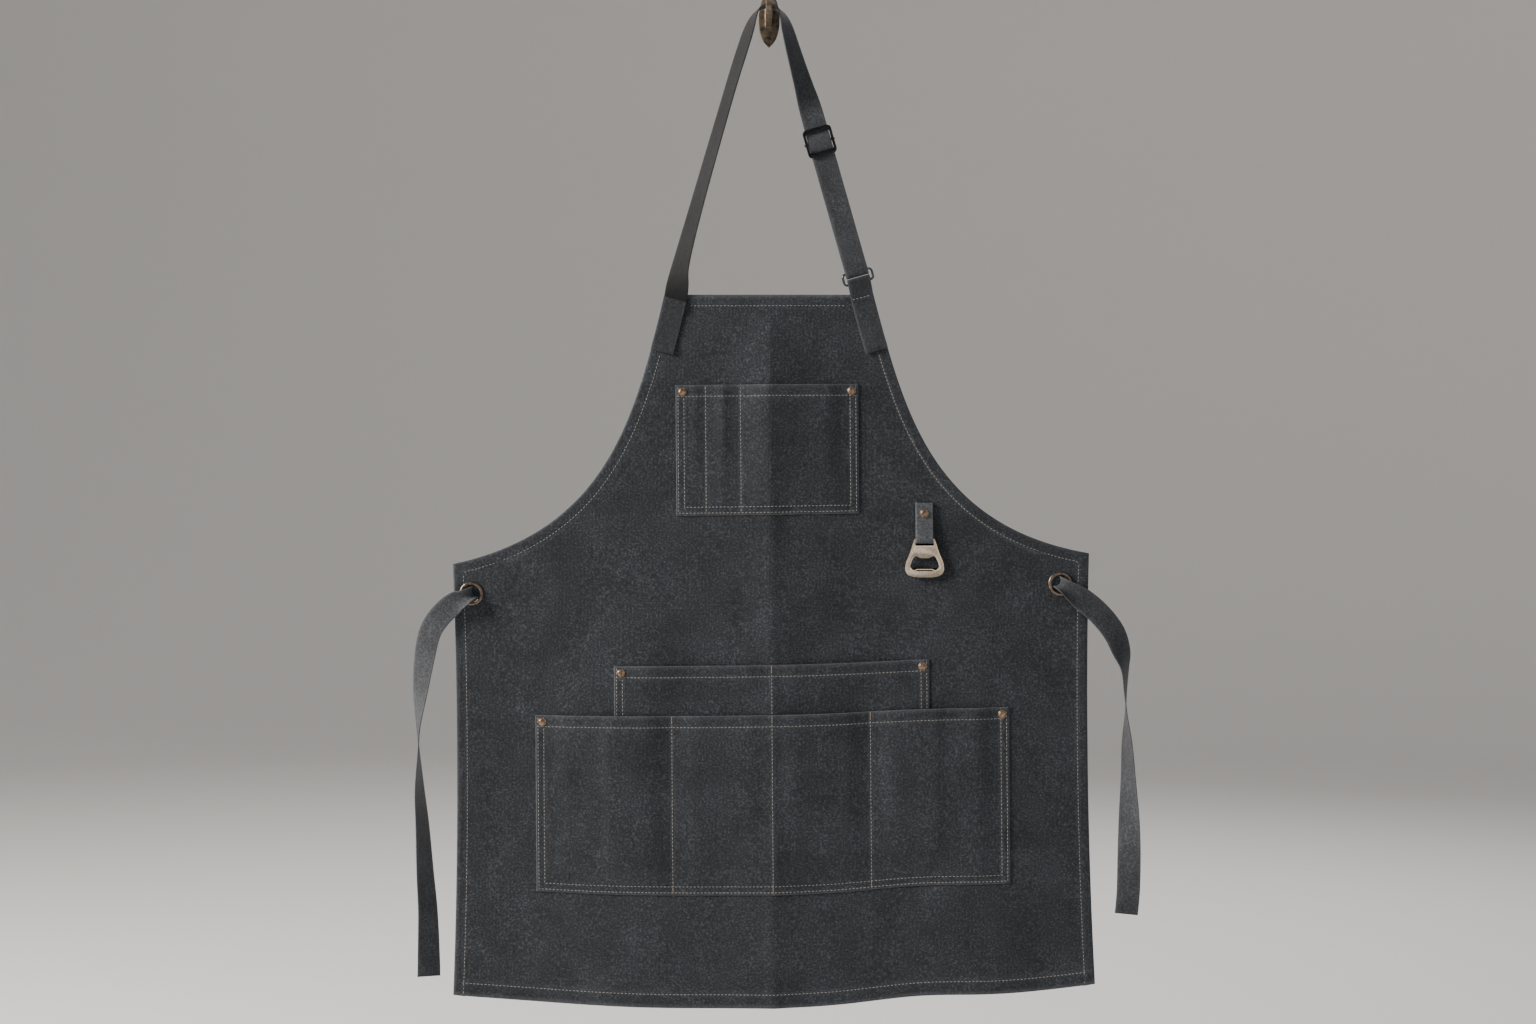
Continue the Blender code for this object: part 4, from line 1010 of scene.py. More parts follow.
LEG = (RING_CENTRE - Vector((0.0, STRAP_FOLD, 0.0)) - TWIST_POINT).normalized()
ACROSS = LEG.cross(Vector((0.0, 1.0, 0.0))).normalized()
FACE = -ACROSS.cross(LEG).normalized()
WIRE_DROP = (RING_HEIGHT - RING_WIRE) / 2
TOP_WIRE = RING_CENTRE - LEG * WIRE_DROP
BOTTOM_WIRE = RING_CENTRE + LEG * WIRE_DROP
STRAIGHT_TOP = TOP_WIRE + FACE * STRAP_FOLD - LEG * ((TOP_WIRE - TWIST_POINT).dot(LEG))
SLIDER_BAR = STRAIGHT_TOP + LEG * SLIDER_DOWN - FACE * STRAP_FOLD
BIB_SLOPE = (half_width(ANCHOR_LENGTH) - half_width(0.0)) / ANCHOR_LENGTH
ON_BIB = CLOTH / 2 + LAYER_GAP + WEBBING / 2
FOLD_POINTS = 12
FOLD_SLACK = 0.0027           # the folds hang loose on the ring, nearly edge to edge
STRAP_PAINTED_SHADE = 0.80              # painted shade on the left leg, which hangs edge on and faces the key light


def leg_keys(leg, start_x, end):
    """Keys down a leg of the strap: x, y, z and turn, where 90 is flat to the room and 0 edge on."""
    outwards = 1 if end.x > start_x else -1
    return [(lerp(start_x, end.x, share) + outwards * bow, y, lerp(CROWN_END_Z, end.z, share), turn)
            for share, bow, y, turn in leg]


def strap_half(tangent, turn, width):
    across = tangent.cross(Vector((0.0, 1.0, 0.0))).normalized()
    angle = turn * pi / 180
    return (Vector((0.0, 1.0, 0.0)) * cos(angle) + across * sin(angle)) * width / 2


def on_bib(side, v, layers=0.0):
    """A station of webbing sewn on the bib along its side edge, over that many layers of webbing."""
    across = Vector((1.0, 0.0, side * BIB_SLOPE)).normalized()
    place = hang(side * (half_width(v) - STRAP_INSET), v, ON_BIB + layers * (WEBBING + GAP))
    return place, across * STRAP_WIDTH / 2


def half_turn(centre, start, onward, radius):
    """Places round a fold, from start through onward to the other side."""
    return [centre + (start * cos(pi * i / FOLD_POINTS) + onward * sin(pi * i / FOLD_POINTS)) * radius
            for i in range(FOLD_POINTS + 1)]


def run_between(a, b, pitch):
    count = max(2, ceil((b - a).length / pitch))
    return [a.lerp(b, i / count) for i in range(1, count)]


def bend_at_bib(piece):
    """Bakes the piece's place into its mesh."""
    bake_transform(piece)


def make_neck_strap():
    foot = Vector((LEFT_SEAM.x, FOLD_LINE_Y, BIB_TOP_Z + SEAM_RELIEF))
    left = leg_keys(LEFT_LEG, CROWN[0][0], foot)
    crown = [(x, CROWN_Y, CROWN_END_Z + height, turn) for x, height, turn in CROWN]
    right = leg_keys(RIGHT_LEG, CROWN[-1][0], STRAIGHT_TOP)
    first = Vector(left[-1][:3])
    keys = [(*foot, 90), (*foot.lerp(first, 0.35), 76), *left[::-1], *crown, *right, (*STRAIGHT_TOP, 90)]
    route = smooth_path(keys, 6)
    centres = [Vector(point[:3]) for point in route]
    stations = []
    for v in (0.0120, 0.0090, 0.0060, 0.0030):
        place, half = on_bib(-1, v)
        stations.append((place, -half))
    stations += [(centre, strap_half(tangent, point[3], STRAP_WIDTH))
                 for centre, tangent, point in zip(centres, tangents(centres), route)]
    half = ACROSS * STRAP_WIDTH / 2
    fold_start = TOP_WIRE + FACE * STRAP_FOLD
    stations += [(place, half) for place in run_between(STRAIGHT_TOP, fold_start, 0.006)]
    stations += [(place, half)
                 for place in half_turn(TOP_WIRE + LEG * FOLD_SLACK, FACE, LEG, STRAP_FOLD)]
    # painted shade on the strap's left half, full from 2 cm left of its middle
    darker = [STRAP_PAINTED_SHADE * smooth(-centre.x / 0.02) for centre, _ in stations]
    strap = webbing("neck_strap_webbing", stations, WEBBING, painted_shade=darker)
    finish_piece(strap, WEB, None, ("neck_strap",))
    bend_at_bib(strap)
    length = length_of([centre for centre, _ in stations])


def make_tail():
    """The strap's tail, back up from the ring to the slider, its end turned in behind the bar."""
    half = ACROSS * STRAP_WIDTH / 2
    fold_end = TOP_WIRE + LEG * FOLD_SLACK - FACE * STRAP_FOLD
    top = SLIDER_BAR - FACE * STRAP_FOLD - LEG * TAIL_PAST_BAR
    turn = (WEBBING + GAP) / 2
    places = [fold_end, *run_between(fold_end, top, 0.008),
              *half_turn(top - FACE * turn, FACE, -LEG, turn)]
    places.append(places[-1] + LEG * TAIL_TURNED)
    tail = webbing("strap_tail_webbing", [(place, half) for place in places], WEBBING)
    finish_piece(tail, WEB)
    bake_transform(tail)
    length_of(places)


def make_left_anchor():
    """A square of webbing over the strap's end, its own ends turned in."""
    shares = [i / 20 for i in range(21)]
    stations = []
    for share in shares:
        v = lerp(0.0052, ANCHOR_LENGTH, share)
        over_strap = 1 - smooth((v - 0.0115) / 0.008)
        turned_in = 0.6 * smooth((v - ANCHOR_LENGTH + 0.010) / 0.004)
        stations.append(on_bib(-1, v, over_strap + turned_in))
    anchor = webbing("left_anchor_webbing", stations, WEBBING)
    # painted shade: the darker copy of the webbing
    finish_piece(anchor, WEB_PAINTED_SHADE, "apron", ("strap_anchor_left",))


def make_ring_loop():
    """Webbing up behind the bib's edge, through the ring and down the front as the right anchor."""
    half = ACROSS * STRAP_WIDTH / 2
    level = Vector((half.length, 0.0, 0.0))
    seam = Vector((RIGHT_SEAM.x, FOLD_LINE_Y, BIB_TOP_Z + SEAM_RELIEF))
    stations = [(seam + Vector((0.0, WEBBING + LAYER_GAP, 0.0)), level)]
    stations += [(place, half)
                 for place in half_turn(BOTTOM_WIRE - LEG * FOLD_SLACK, -FACE, -LEG, STRAP_FOLD)]
    stations.append((seam.lerp(stations[-1][0], 0.35), half))
    for i in range(22):
        v = lerp(0.0010, ANCHOR_LENGTH, i / 21)
        stations.append(on_bib(1, v, 0.6 * smooth((v - ANCHOR_LENGTH + 0.010) / 0.004)))
    loop = webbing("ring_loop_webbing", stations, WEBBING)
    # painted shade: the darker copy of the webbing
    finish_piece(loop, WEB_PAINTED_SHADE, None, ("ring_loop", "strap_anchor_right"))
    bend_at_bib(loop)
    length = length_of([centre for centre, _ in stations])


OPENER_BAR_HEIGHT = 0.0028
OPENER_THICKNESS = 0.0024
OPENER_BAR_DROP = 0.0405
OPENER_FOLD = sqrt(OPENER_BAR_HEIGHT ** 2 + OPENER_THICKNESS ** 2) / 2 + GAP + WEBBING / 2
OPENER_AXIS = hang(TAB_U, TAB_TOP + OPENER_BAR_DROP, ON_BIB + OPENER_FOLD)
TAB_FRONT = ON_BIB + WEBBING + LAYER_GAP


def make_tab():
    """Webbing up the back, round the opener's top bar and up the front to its rivet."""
    top = hang(TAB_U, TAB_TOP)
    side = Vector((TAB_WIDTH / 2, 0.0, 0.0))
    flat_drop = TAB_RIVET_DROP + 0.005

    def on_tab(drop, out):
        place = hang(TAB_U, TAB_TOP + drop, out)
        return Vector((lerp(top.x, OPENER_AXIS.x, drop / OPENER_BAR_DROP), place.y, place.z))

    drops = [OPENER_BAR_DROP * 0.96 * i / 16 for i in range(17)]
    back = [on_tab(drop, ON_BIB) for drop in drops]
    front = [on_tab(drop, lerp(TAB_FRONT, ON_BIB + 2 * OPENER_FOLD,
                               max(0.0, drop - flat_drop) / (OPENER_BAR_DROP - flat_drop)))
             for drop in drops]
    fold = half_turn(OPENER_AXIS, Vector((0.0, 1.0, 0.0)), Vector((0.0, 0.0, -1.0)), OPENER_FOLD)
    places = back + fold + front[::-1]
    tab = webbing("opener_tab_webbing", [(place, side) for place in places], WEBBING)
    # painted light: the paler copy of the webbing
    finish_piece(tab, WEB_PAINTED_LIGHT, "apron", ("opener_tab",))
    length_of(places)


make_neck_strap()
make_tail()
make_left_anchor()
make_ring_loop()
make_tab()


# Stitching

def make_row(name, places, thread, pitch=STITCH_PITCH, long=STITCH_LENGTH):
    """One stitch, repeated along a guide line and bent to it."""
    line = bpy.data.curves.new(name + "_line", "CURVE")
    line.dimensions = "3D"
    spline = line.splines.new("POLY")
    spline.points.add(len(places) - 1)
    for point, place in zip(spline.points, places):
        point.co = (*place, 1.0)
    guide = bpy.data.objects.new(name + "_line", line)
    bpy.context.scene.collection.objects.link(guide)
    nothing_selected()
    bpy.ops.mesh.primitive_uv_sphere_add(segments=6, ring_count=4, radius=1.0,
                                         location=(pitch / 2, 0, 0), rotation=(0, pi / 2, 0),
                                         scale=(THREAD, THREAD, long / 2))
    row = settle(bpy.context.object)
    row.name = name
    repeat = row.modifiers.new("repeat", "ARRAY")
    repeat.count = max(1, int(length_of([Vector(p) for p in places]) / pitch))
    repeat.use_relative_offset = False
    repeat.use_constant_offset = True
    repeat.constant_offset_displace = (pitch, 0, 0)
    follow = row.modifiers.new("follow", "CURVE")
    follow.object = guide
    apply_all(row)
    bpy.data.objects.remove(guide)
    row.data.materials.append(thread)
    return row


def joined(name, rows, body):
    """Rows of stitches as one piece."""
    nothing_selected()
    for row in rows:
        row.select_set(True)
    bpy.context.view_layer.objects.active = rows[0]
    bpy.ops.object.join()
    piece = bpy.context.object
    piece.name = name
    round_shading(piece, 80)
    if body:
        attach(piece, body)
    return piece


# Where the rows lie, out from the middle of the panel's cloth
IN_HEM_SEAM = FACE_HALF + 0.84 * HEM_RISE - SEAM_DEPTH + THREAD_OUT
BEHIND_HEM = -(FACE_HALF + TURNING + TURNING_GAP + THREAD_OUT)
BEHIND_CLOTH = -(FACE_HALF + THREAD_OUT)
TACK_LENGTH = 0.0085
TACK_PITCH = 0.0021
TACK_STITCH = 0.0019


def along_panel(line, out=IN_HEM_SEAM):
    """Places along a line of (u, v) on the panel: on its face at its seams' depth, or that far out."""
    places = []
    for (u0, v0), (u1, v1) in zip(line, line[1:]):
        count = max(1, ceil(sqrt((u1 - u0) ** 2 + (v1 - v0) ** 2) / STITCH_PITCH))
        places += [(lerp(u0, u1, i / count), lerp(v0, v1, i / count)) for i in range(count)]
    places.append(line[-1])
    return [drape(u, v, out + pucker(u, v, 0.0)) for u, v in places]


def panel_stitches():
    """Hem seams, seen on the face and again behind."""
    rows = []
    seams = {}
    corner_u = CORNER_HALF - SIDE_HEM
    corner_v = CORNER_DROP + SIDE_HEM * 1.06
    below_anchor = ANCHOR_LENGTH + 0.0015
    for side, label in ((-1, "left"), (1, "right")):
        line = [(side * u, v) for u, v in edge_line(90)]
        inner = [(u + nu * SIDE_HEM, v + nv * SIDE_HEM)
                 for (u, v), (nu, nv) in zip(line, normals_in(line, side))]
        curve = [(u, v) for u, v in inner[:90] if v > below_anchor and abs(u) < corner_u]
        seams["armhole_" + label] = [*curve, (side * corner_u, corner_v)]
        drops = [lerp(corner_v, APRON_LENGTH - 0.002, i / 12) for i in range(13)]
        seams["side_" + label] = [(side * (skirt_half(v) - SIDE_HEM), v) for v in drops]
    half = skirt_half(APRON_LENGTH) - 0.001
    low = APRON_LENGTH - BOTTOM_HEM
    seams["hem"] = [(-half, low), (half, low)]
    half = BIB_HALF - STRAP_WIDTH - 0.002
    seams["bib"] = [(-half, TOP_HEM), (half, TOP_HEM)]
    for name, line in seams.items():
        behind = 2 * BEHIND_HEM if name in ("hem", "bib") else BEHIND_HEM
        rows.append(make_row(name, along_panel(line), THREAD_CREAM))
        rows.append(make_row(name + "_behind", along_panel(line, out=behind), THREAD_CREAM))
    joined("panel_stitching", rows, "apron")


def pocket_stitches(name, low, tacks=()):
    """Mouth hem, double rows round the edges, single rows on the dividers, and tan tacks.

    low is where the rows on show end: above the pocket's own edge where another pocket covers it."""
    pocket = POCKETS[name]
    seams, top, bottom, _ = pocket
    left, right = seams[0], seams[-1]
    start = top + 0.0015

    def along_pocket(line):
        places = []
        for (u0, v0), (u1, v1) in zip(line, line[1:]):
            count = max(1, ceil(max(abs(u1 - u0), abs(v1 - v0)) / 0.002))
            places += [(lerp(u0, u1, i / count), lerp(v0, v1, i / count)) for i in range(count)]
        places.append(line[-1])
        lift = FACE_HALF + THREAD_OUT
        return [drape(u, v, pocket_out(u, v, pocket) + lift) for u, v in places]

    mouth = [(left + 0.001, top + POCKET_HEM), (right - 0.001, top + POCKET_HEM)]
    through = []
    shown = []
    for row in (OUTER_ROW, INNER_ROW):
        through.append([(left + row, start), (left + row, bottom - row), (right - row, bottom - row),
                        (right - row, start)])
        if low < bottom:
            shown += [[(u, start), (u, low)] for u in (left + row, right - row)]
        else:
            shown.append(through[-1])
    for u in seams[1:-1]:
        through.append([(u, start), (u, bottom - OUTER_ROW)])
        shown.append([(u, start), (u, min(low, bottom - OUTER_ROW))])
    rows = [make_row(name + "_mouth", along_pocket(mouth), THREAD_CREAM)]
    rows += [make_row(f"{name}_row_{i}", along_pocket(line), THREAD_CREAM)
             for i, line in enumerate(shown)]
    rows += [make_row(f"{name}_row_{i}_behind", along_panel(line, out=BEHIND_CLOTH), THREAD_CREAM)
             for i, line in enumerate(through)]
    for i, (u, v) in enumerate(tacks):
        tack = along_pocket([(u, v), (u, v + TACK_LENGTH)])
        rows.append(make_row(f"{name}_tack_{i}", tack, THREAD_TAN, TACK_PITCH, TACK_STITCH))
    joined(name + "_stitching", rows, "apron")


ANCHOR_SEAM = 0.0032          # the row that holds the ring's loop, below the bib's top
ANCHOR_SEAM_IN = 0.0012


def loop_stitches():
    """The row across the ring's loop at the bib's top edge, and behind."""
    centre, half = on_bib(1, ANCHOR_SEAM)
    half = half * (1 - ANCHOR_SEAM_IN / half.length)
    face = Vector((0.0, -(WEBBING / 2 + THREAD_OUT), 0.0))
    front = [centre - half + face, centre + half + face]
    reach = half_width(0.0) - STRAP_INSET
    ends = [(reach - half.length, ANCHOR_SEAM), (reach + half.length - 0.002, ANCHOR_SEAM)]
    behind = along_panel(ends, out=2.6 * BEHIND_HEM)
    rows = [make_row("loop_seam", front, THREAD_CREAM),
            make_row("loop_seam_behind", behind, THREAD_CREAM)]
    bend_at_bib(joined("loop_stitching", rows, None))


panel_stitches()
loop_stitches()
pocket_stitches("chest", CHEST_BOTTOM)
pocket_stitches("upper", LOWER_TOP + 0.004, [(0.0, UPPER_TOP + 0.0005)])
pocket_stitches("lower", LOWER_BOTTOM,
                [(u, v) for v in (LOWER_TOP + 0.0005, LOWER_BOTTOM - 0.0100) for u in LOWER_DIVIDERS])


# Rivets and eyelets

TO_ROOM = Matrix.Rotation(pi / 2, 4, "X")
TO_WALL = Matrix.Rotation(-pi / 2, 4, "X")
RIVET_RADIUS = 0.0046
RIVET_RIM = 0.0006
RIVET_STEPS = (               # in from the rim, and up
    (0.00025, 0.00025),
    (0.00060, 0.00005),
    (0.00025, -0.00012),
    (0.00040, 0.00036),
    (0.00070, 0.00024),
    (0.00100, 0.00014),
    (0.00080, 0.00005),
)
BURR_RADIUS = 0.0042
BURR_STEPS = ((0.0003, 0.0003), (0.0016, 0.0002), (0.0003, -0.0002), (0.0006, 0.0003), (0.0006, 0.0001))
EYELET_OUTER = 0.0130
EYELET_BORE = 0.0090
EYELET_CROWN = 0.0014         # how high the flange's roll stands
EYELET_RISES = 10


def choose_parts(obj, kind, wanted):
    """Goes to edit mode with the faces, edges or points selected that are wanted."""
    choose(obj)
    bpy.ops.object.mode_set(mode="EDIT")
    bpy.ops.mesh.select_mode(type=kind)
    bpy.ops.mesh.select_all(action="DESELECT")
    bpy.ops.object.mode_set(mode="OBJECT")
    parts = {"FACE": obj.data.polygons, "EDGE": obj.data.edges, "VERT": obj.data.vertices}
    for part in parts[kind]:
        part.select = wanted(part)
    bpy.ops.object.mode_set(mode="EDIT")


def stepped(name, sides, radius, depth, steps, hollow=0.0):
    """A disc facing up, its face shaped by insets and rises; hollow is how deep its bore goes."""
    nothing_selected()
    bpy.ops.mesh.primitive_cylinder_add(vertices=sides, radius=radius, depth=depth,
                                        location=(0, 0, depth / 2))
    disc = settle(bpy.context.object)
    disc.name = name
    choose_parts(disc, "FACE", lambda face: face.normal.z > 0.9)
    for inset, rise in steps:
        bpy.ops.mesh.inset(thickness=inset)
        bpy.ops.transform.translate(value=(0, 0, rise))
    if hollow:
        bpy.ops.mesh.extrude_region_move(TRANSFORM_OT_translate={"value": (0, 0, -hollow)})
        bpy.ops.mesh.delete(type="FACE")
        bpy.ops.object.mode_set(mode="OBJECT")
        bore = radius - sum(inset for inset, _ in steps)
        choose_parts(disc, "FACE", lambda face: face.normal.z < -0.9)
        bpy.ops.mesh.inset(thickness=radius - bore)
        bpy.ops.mesh.delete(type="FACE")
        bpy.ops.mesh.select_mode(type="VERT")
        bpy.ops.mesh.select_all(action="SELECT")
        bpy.ops.mesh.remove_doubles(threshold=0.00002)
    bpy.ops.object.mode_set(mode="OBJECT")
    return disc


def copied(piece, name, place, turn=TO_ROOM):
    """A copy with its own mesh, set down at its place."""
    choose(piece)
    bpy.ops.object.duplicate(linked=False)
    copy = bpy.context.object
    copy.name = name
    copy.matrix_world = Matrix.Translation(place) @ turn
    return settle(copy)


def remove(piece):
    bpy.data.objects.remove(piece)


def rivet_places():
    """Name, pattern place and height of the outermost cloth for each rivet."""
    for name, (seams, top, _, offset) in POCKETS.items():
        v = top + RIVET_INSET
        for side, u in (("left", seams[0] + RIVET_INSET), ("right", seams[-1] - RIVET_INSET)):
            yield f"{name}_{side}", u, v, offset(u, v)
    yield "opener_tab", TAB_U, TAB_TOP + TAB_RIVET_DROP, TAB_FRONT + (WEBBING - CLOTH) / 2


def make_rivets():
    head = stepped("rivet_head", 32, RIVET_RADIUS, RIVET_RIM, RIVET_STEPS)
    burr = stepped("rivet_burr", 24, BURR_RADIUS, 0.0004, BURR_STEPS)
    for name, u, v, outer in rivet_places():
        front = copied(head, f"rivet_{name}_head", hang(u, v, outer + CLOTH / 2 + GAP))
        round_shading(front)
        finish_piece(front, COPPER, "apron", (f"rivet_{name}",))
        back = copied(burr, f"rivet_{name}_burr", hang(u, v, -CLOTH / 2 - GAP), TO_WALL)
        round_shading(back)
        finish_piece(back, COPPER, "apron", (f"rivet_back_{name}",))
    remove(head)
    remove(burr)


def make_eyelets():
    """A rolled flange with its barrel through the cloth, and a washer behind."""
    width = EYELET_OUTER - EYELET_BORE
    turns = [pi * i / EYELET_RISES for i in range(EYELET_RISES + 1)]
    roll = [(width * (cos(a) - cos(b)) / 2, EYELET_CROWN * (sin(b) - sin(a)))
            for a, b in zip(turns, turns[1:])]
    flange = stepped("eyelet_flange", 64, EYELET_OUTER, 0.0002, roll, hollow=0.0026)
    washer = stepped("eyelet_washer", 64, EYELET_OUTER * 0.96, 0.0004,
                     [(0.0003, 0.0002), (width * 0.96 - 0.0008, 0.0)], hollow=0.0006)
    half = half_width(EYELET_DROP)
    for side, u in (("left", -half + EYELET_LEFT_INSET), ("right", half - EYELET_RIGHT_INSET)):
        front = copied(flange, f"eyelet_{side}_flange", hang(u, EYELET_DROP, CLOTH / 2 + GAP))
        round_shading(front, 50)
        finish_piece(front, BRASS, "apron", (f"eyelet_{side}",))
        back = copied(washer, f"eyelet_{side}_washer", hang(u, EYELET_DROP, -CLOTH / 2 - GAP), TO_WALL)
        round_shading(back, 50)
        finish_piece(back, BRASS, "apron", (f"eyelet_washer_{side}",))
    remove(flange)
    remove(washer)


make_rivets()
make_eyelets()


# Ring and slider

RING_LENGTH = STRAP_WIDTH + 2 * 0.0024 + 2 * RING_WIRE
RING_CORNER = 0.0035
SLIDER_SIDE = 0.0027
SLIDER_RAIL = 0.0047
SLIDER_HEIGHT = 0.0310
SLIDER_DEPTH = 0.0020
SLIDER_CORNER = 0.0045
SLIDER_INNER_CORNER = 0.0022
SLIDER_CLEARANCE = 0.0006
BAR_RADIUS = 0.0012
BAR_NUB = 0.0011
EAR_HEIGHT = 0.0060
EAR_WALL = 0.0012


def strap_matrix(origin):
    """Local x across the strap, y up it and z towards the room."""
    rotation = Matrix([[column[i] for column in (ACROSS, -LEG, FACE)] for i in range(3)])
    return Matrix.Translation(origin) @ rotation.to_4x4()


def set_on_strap(piece, origin):
    piece.matrix_world = strap_matrix(origin)
    return settle(piece)


def make_ring():
    """A wire ring: a torus as round as its corners, drawn out both ways."""
    nothing_selected()
    bpy.ops.mesh.primitive_torus_add(major_segments=48, minor_segments=16, major_radius=RING_CORNER,
                                     minor_radius=RING_WIRE / 2)
    ring = bpy.context.object
    ring.name = "wire_ring"
    wide = (RING_LENGTH - RING_WIRE) / 2 - RING_CORNER
    tall = (RING_HEIGHT - RING_WIRE) / 2 - RING_CORNER
    for axis, way, stretch in ((0, 1, wide), (0, -1, wide), (1, 1, tall), (1, -1, tall)):
        choose_parts(ring, "VERT", lambda point: way * point.co[axis] > 0.00001)
        bpy.ops.transform.translate(value=[way * stretch if i == axis else 0.0 for i in range(3)])
        bpy.ops.object.mode_set(mode="OBJECT")
    round_shading(set_on_strap(ring, RING_CENTRE), 60)
    finish_piece(ring, WIRE, "neck_strap", ("strap_ring",))


def rounded_block(name, size, corner, place=(0.0, 0.0, 0.0)):
    """A block whose upright edges are rounded."""
    nothing_selected()
    bpy.ops.mesh.primitive_cube_add(size=1.0, location=place, scale=size)
    block = settle(bpy.context.object)
    block.name = name

    def upright(edge):
        a, b = (block.data.vertices[i].co for i in edge.vertices)
        return abs(a.z - b.z) > 1e-6

    choose_parts(block, "EDGE", upright)
    bpy.ops.mesh.bevel(offset=corner, segments=6)
    bpy.ops.object.mode_set(mode="OBJECT")
    return block


def combine(piece, tool, operation):
    """Adds or cuts away a tool, which is then gone."""
    change = piece.modifiers.new(operation, "BOOLEAN")
    change.operation = operation
    change.object = tool
    change.solver = "EXACT"
    apply_all(piece)
    remove(tool)
    return piece


def soften(piece, width, segments=3):
    """Rounds every sharp edge."""
    bevel = piece.modifiers.new("soft_edges", "BEVEL")
    bevel.width = width
    bevel.segments = segments
    bevel.angle_limit = 35 * pi / 180
    return apply_all(piece)


def make_slider():
    inner = STRAP_WIDTH + 2 * SLIDER_CLEARANCE
    outer = inner + 2 * SLIDER_SIDE
    lift = STRAP_FOLD + WEBBING / 2 + GAP + SLIDER_DEPTH / 2
    back = BAR_RADIUS + EAR_WALL
    frame_block = rounded_block("slider_casting", (outer, SLIDER_HEIGHT, SLIDER_DEPTH), SLIDER_CORNER,
                                (0, 0, lift))
    window = rounded_block("window", (inner, SLIDER_HEIGHT - 2 * SLIDER_RAIL, 0.02), SLIDER_INNER_CORNER,
                           (0, 0, lift))
    combine(frame_block, window, "DIFFERENCE")
    for side in (-1, 1):
        ear = rounded_block("ear", (SLIDER_SIDE - 0.0002, EAR_HEIGHT, lift + back), 0.0008,
                            (side * (inner + SLIDER_SIDE) / 2, 0, (lift - back) / 2))
        combine(frame_block, ear, "UNION")
    soften(frame_block, 0.00045)
    round_shading(set_on_strap(frame_block, SLIDER_BAR))
    finish_piece(frame_block, BLACK_NICKEL, "slider", ("slider_frame",))
    nothing_selected()
    bpy.ops.mesh.primitive_cylinder_add(vertices=32, radius=BAR_RADIUS, depth=outer + 2 * BAR_NUB,
                                        rotation=(0, pi / 2, 0))
    bar = settle(bpy.context.object)
    bar.name = "slider_rod"
    soften(bar, 0.0004)
    round_shading(set_on_strap(bar, SLIDER_BAR))
    finish_piece(bar, BLACK_NICKEL, "slider", ("slider_bar",))


def make_window_strap():
    """The strap where it comes forward over the bar, between the slider's rails."""
    half = ACROSS * (STRAP_WIDTH / 2 - 0.0001)
    reach = SLIDER_HEIGHT / 2 - SLIDER_RAIL + 0.0008
    stations = []
    for i in range(25):
        t = 2 * i / 24 - 1
        rise = STRAP_FOLD - 0.0001 + 0.0019 * cos(t * pi / 2) ** 0.7
        stations.append((SLIDER_BAR + LEG * (reach * t) + FACE * rise, half))
    piece = webbing("strap_over_bar", stations, WEBBING)
    finish_piece(piece, WEB, "slider")
    flat = (STRAP_WIDTH, length_of([place for place, _ in stations]))


make_ring()
make_slider()
make_window_strap()


# Bottle opener

OPENER_SLOT = 0.0044
OPENER_BRIDGE = 0.0110
OPENER_HEIGHT = 0.0415
OPENER_SLOT_HALF = TAB_WIDTH / 2 + 0.0006
OPENER_TOP_HALF = OPENER_SLOT_HALF + 0.0017
OPENER_HALF = 0.0209
OPENER_ARM = 0.0052
OPENER_BASE = 0.0081
RIM_WIDTH = 0.0010
RIM_HEIGHT = 0.0006


def plate_from(name, right, thickness, per_span=4):
    """A plate whose outline is a smooth curve through its right half's points, top to bottom."""
    curve = smooth_path(right, per_span)
    outline = curve + [(-x, y) for x, y in reversed(curve) if abs(x) > 1e-6]
    nothing_selected()
    bpy.ops.mesh.primitive_circle_add(vertices=len(outline), radius=0.01, fill_type="NGON")
    plate = bpy.context.object
    plate.name = name
    for vertex, (x, y) in zip(plate.data.vertices, outline):
        vertex.co = (x, y, -thickness / 2)
    choose_parts(plate, "FACE", lambda face: True)
    bpy.ops.mesh.extrude_region_move(TRANSFORM_OT_translate={"value": (0, 0, thickness)})
    bpy.ops.mesh.select_all(action="SELECT")
    bpy.ops.mesh.normals_make_consistent(inside=False)
    bpy.ops.object.mode_set(mode="OBJECT")
    return plate


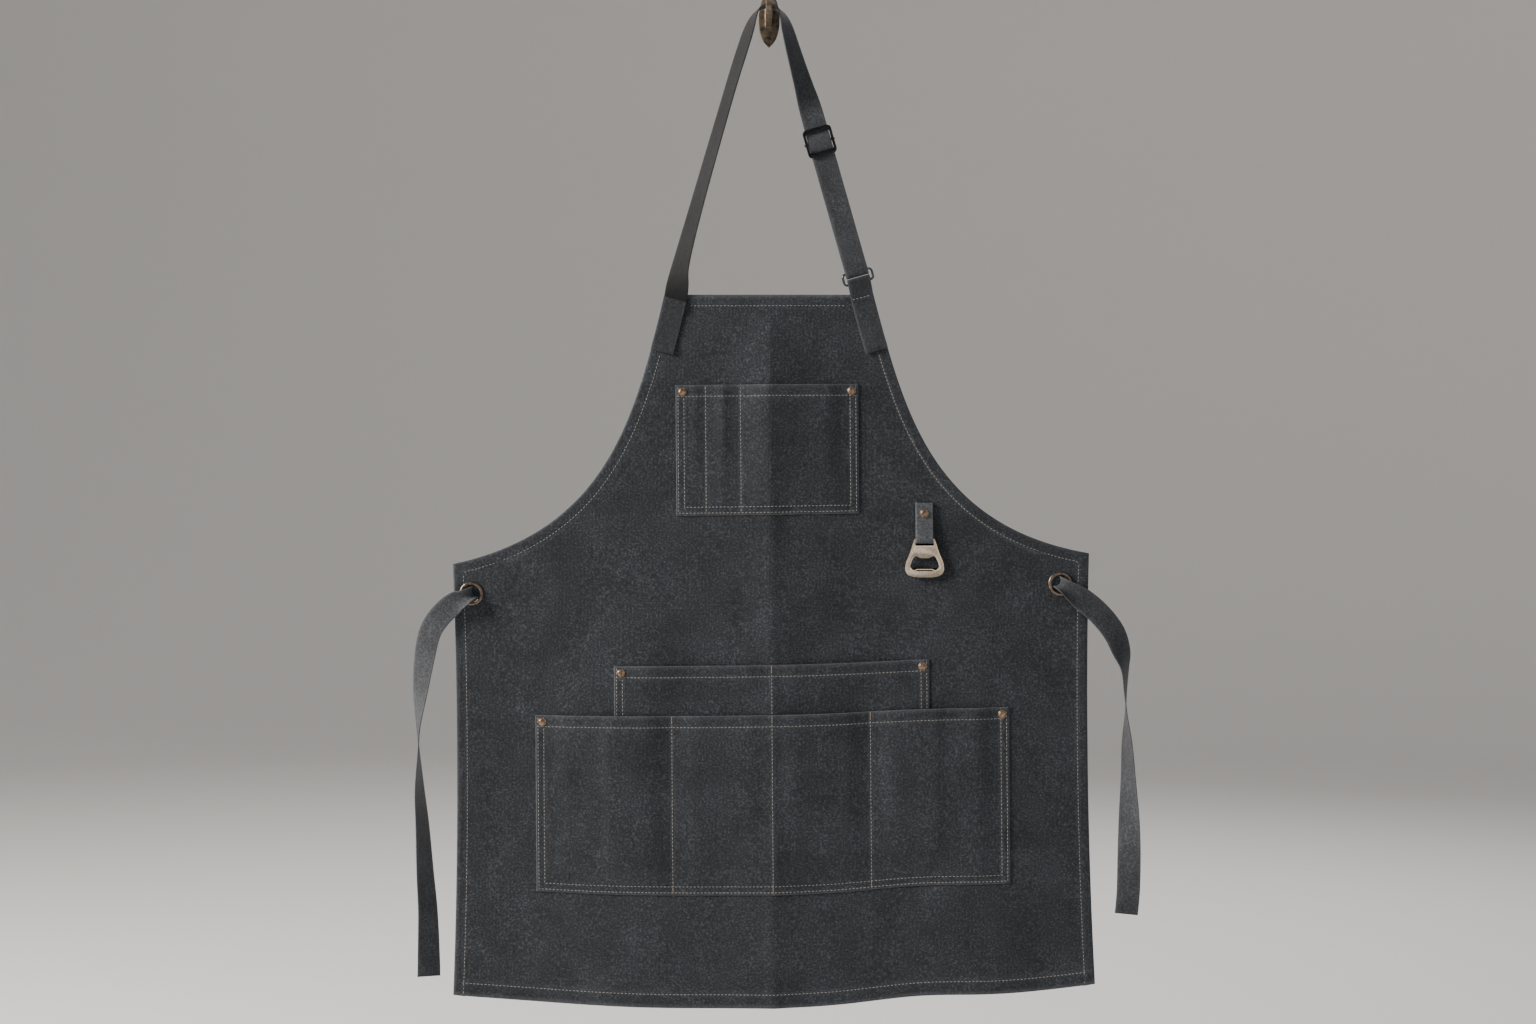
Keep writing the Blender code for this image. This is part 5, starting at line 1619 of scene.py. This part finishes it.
def make_opener():
    """Top bar, two arms, a bridge, and the cap window with its lifting lip."""
    bar = OPENER_BAR_HEIGHT / 2
    slot_low = -bar - OPENER_SLOT
    window_top = slot_low - OPENER_BRIDGE
    low = bar - OPENER_HEIGHT
    outer = (
        (0.0, bar), (OPENER_TOP_HALF - 0.0030, bar), (OPENER_TOP_HALF - 0.0006, bar - 0.0004),
        (OPENER_TOP_HALF, bar - 0.0022),
        (lerp(OPENER_TOP_HALF, OPENER_HALF, 0.48), lerp(bar, low, 0.38)),
        (lerp(OPENER_TOP_HALF, OPENER_HALF, 0.86), lerp(bar, low, 0.58)),
        (OPENER_HALF, lerp(bar, low, 0.74)), (OPENER_HALF * 0.99, lerp(bar, low, 0.82)),
        (OPENER_HALF * 0.90, lerp(bar, low, 0.91)), (OPENER_HALF * 0.72, lerp(bar, low, 0.965)),
        (OPENER_HALF * 0.40, lerp(bar, low, 0.995)), (0.0, low))
    side = OPENER_HALF - OPENER_ARM
    base = low + OPENER_BASE
    window = (
        (0.0, window_top - 0.0026), (0.0042, window_top - 0.0024), (0.0068, window_top - 0.0012),
        (0.0098, window_top - 0.0004), (0.0118, window_top - 0.0018), (side * 0.90, window_top - 0.0062),
        (side, window_top - 0.0120), (side - 0.0006, base + 0.0028), (side - 0.0030, base),
        (0.0100, base), (0.0082, base + 0.0010), (0.0, base + 0.0010))
    opener = plate_from("opener_casting", outer, OPENER_THICKNESS)
    slot = rounded_block("slot", (2 * OPENER_SLOT_HALF, OPENER_SLOT, 0.01), 0.0006,
                         (0, (slot_low - bar) / 2, 0))
    combine(opener, slot, "DIFFERENCE")
    combine(opener, plate_from("cap_window", window, 0.01, 3), "DIFFERENCE")
    choose_parts(opener, "FACE", lambda face: face.normal.z > 0.9)
    bpy.ops.mesh.inset(thickness=RIM_WIDTH)
    bpy.ops.transform.translate(value=(0, 0, -RIM_HEIGHT))
    bpy.ops.object.mode_set(mode="OBJECT")
    soften(opener, 0.0003, 2)
    opener.matrix_world = Matrix.Translation(OPENER_AXIS) @ TO_ROOM
    round_shading(settle(opener))
    finish_piece(opener, NICKEL, "opener", ("bottle_opener",))


make_opener()


# Hook

def make_hook():
    """The casting and its screws keep their solids, with the soft edges of a casting."""
    casting = bpy.data.objects["hook_casting"]
    skin = casting.modifiers.new("casting_skin", "REMESH")
    skin.mode = "VOXEL"
    skin.voxel_size = 0.0006
    skin.use_smooth_shade = True
    relax = casting.modifiers.new("cast_edges", "SMOOTH")
    relax.factor = 0.5
    relax.iterations = 6
    for name in ("hook_casting", "hook_screw_upper", "hook_screw_lower"):
        piece = bpy.data.objects[name]
        piece.data.materials.clear()
        piece.data.materials.append(IRON)


make_hook()
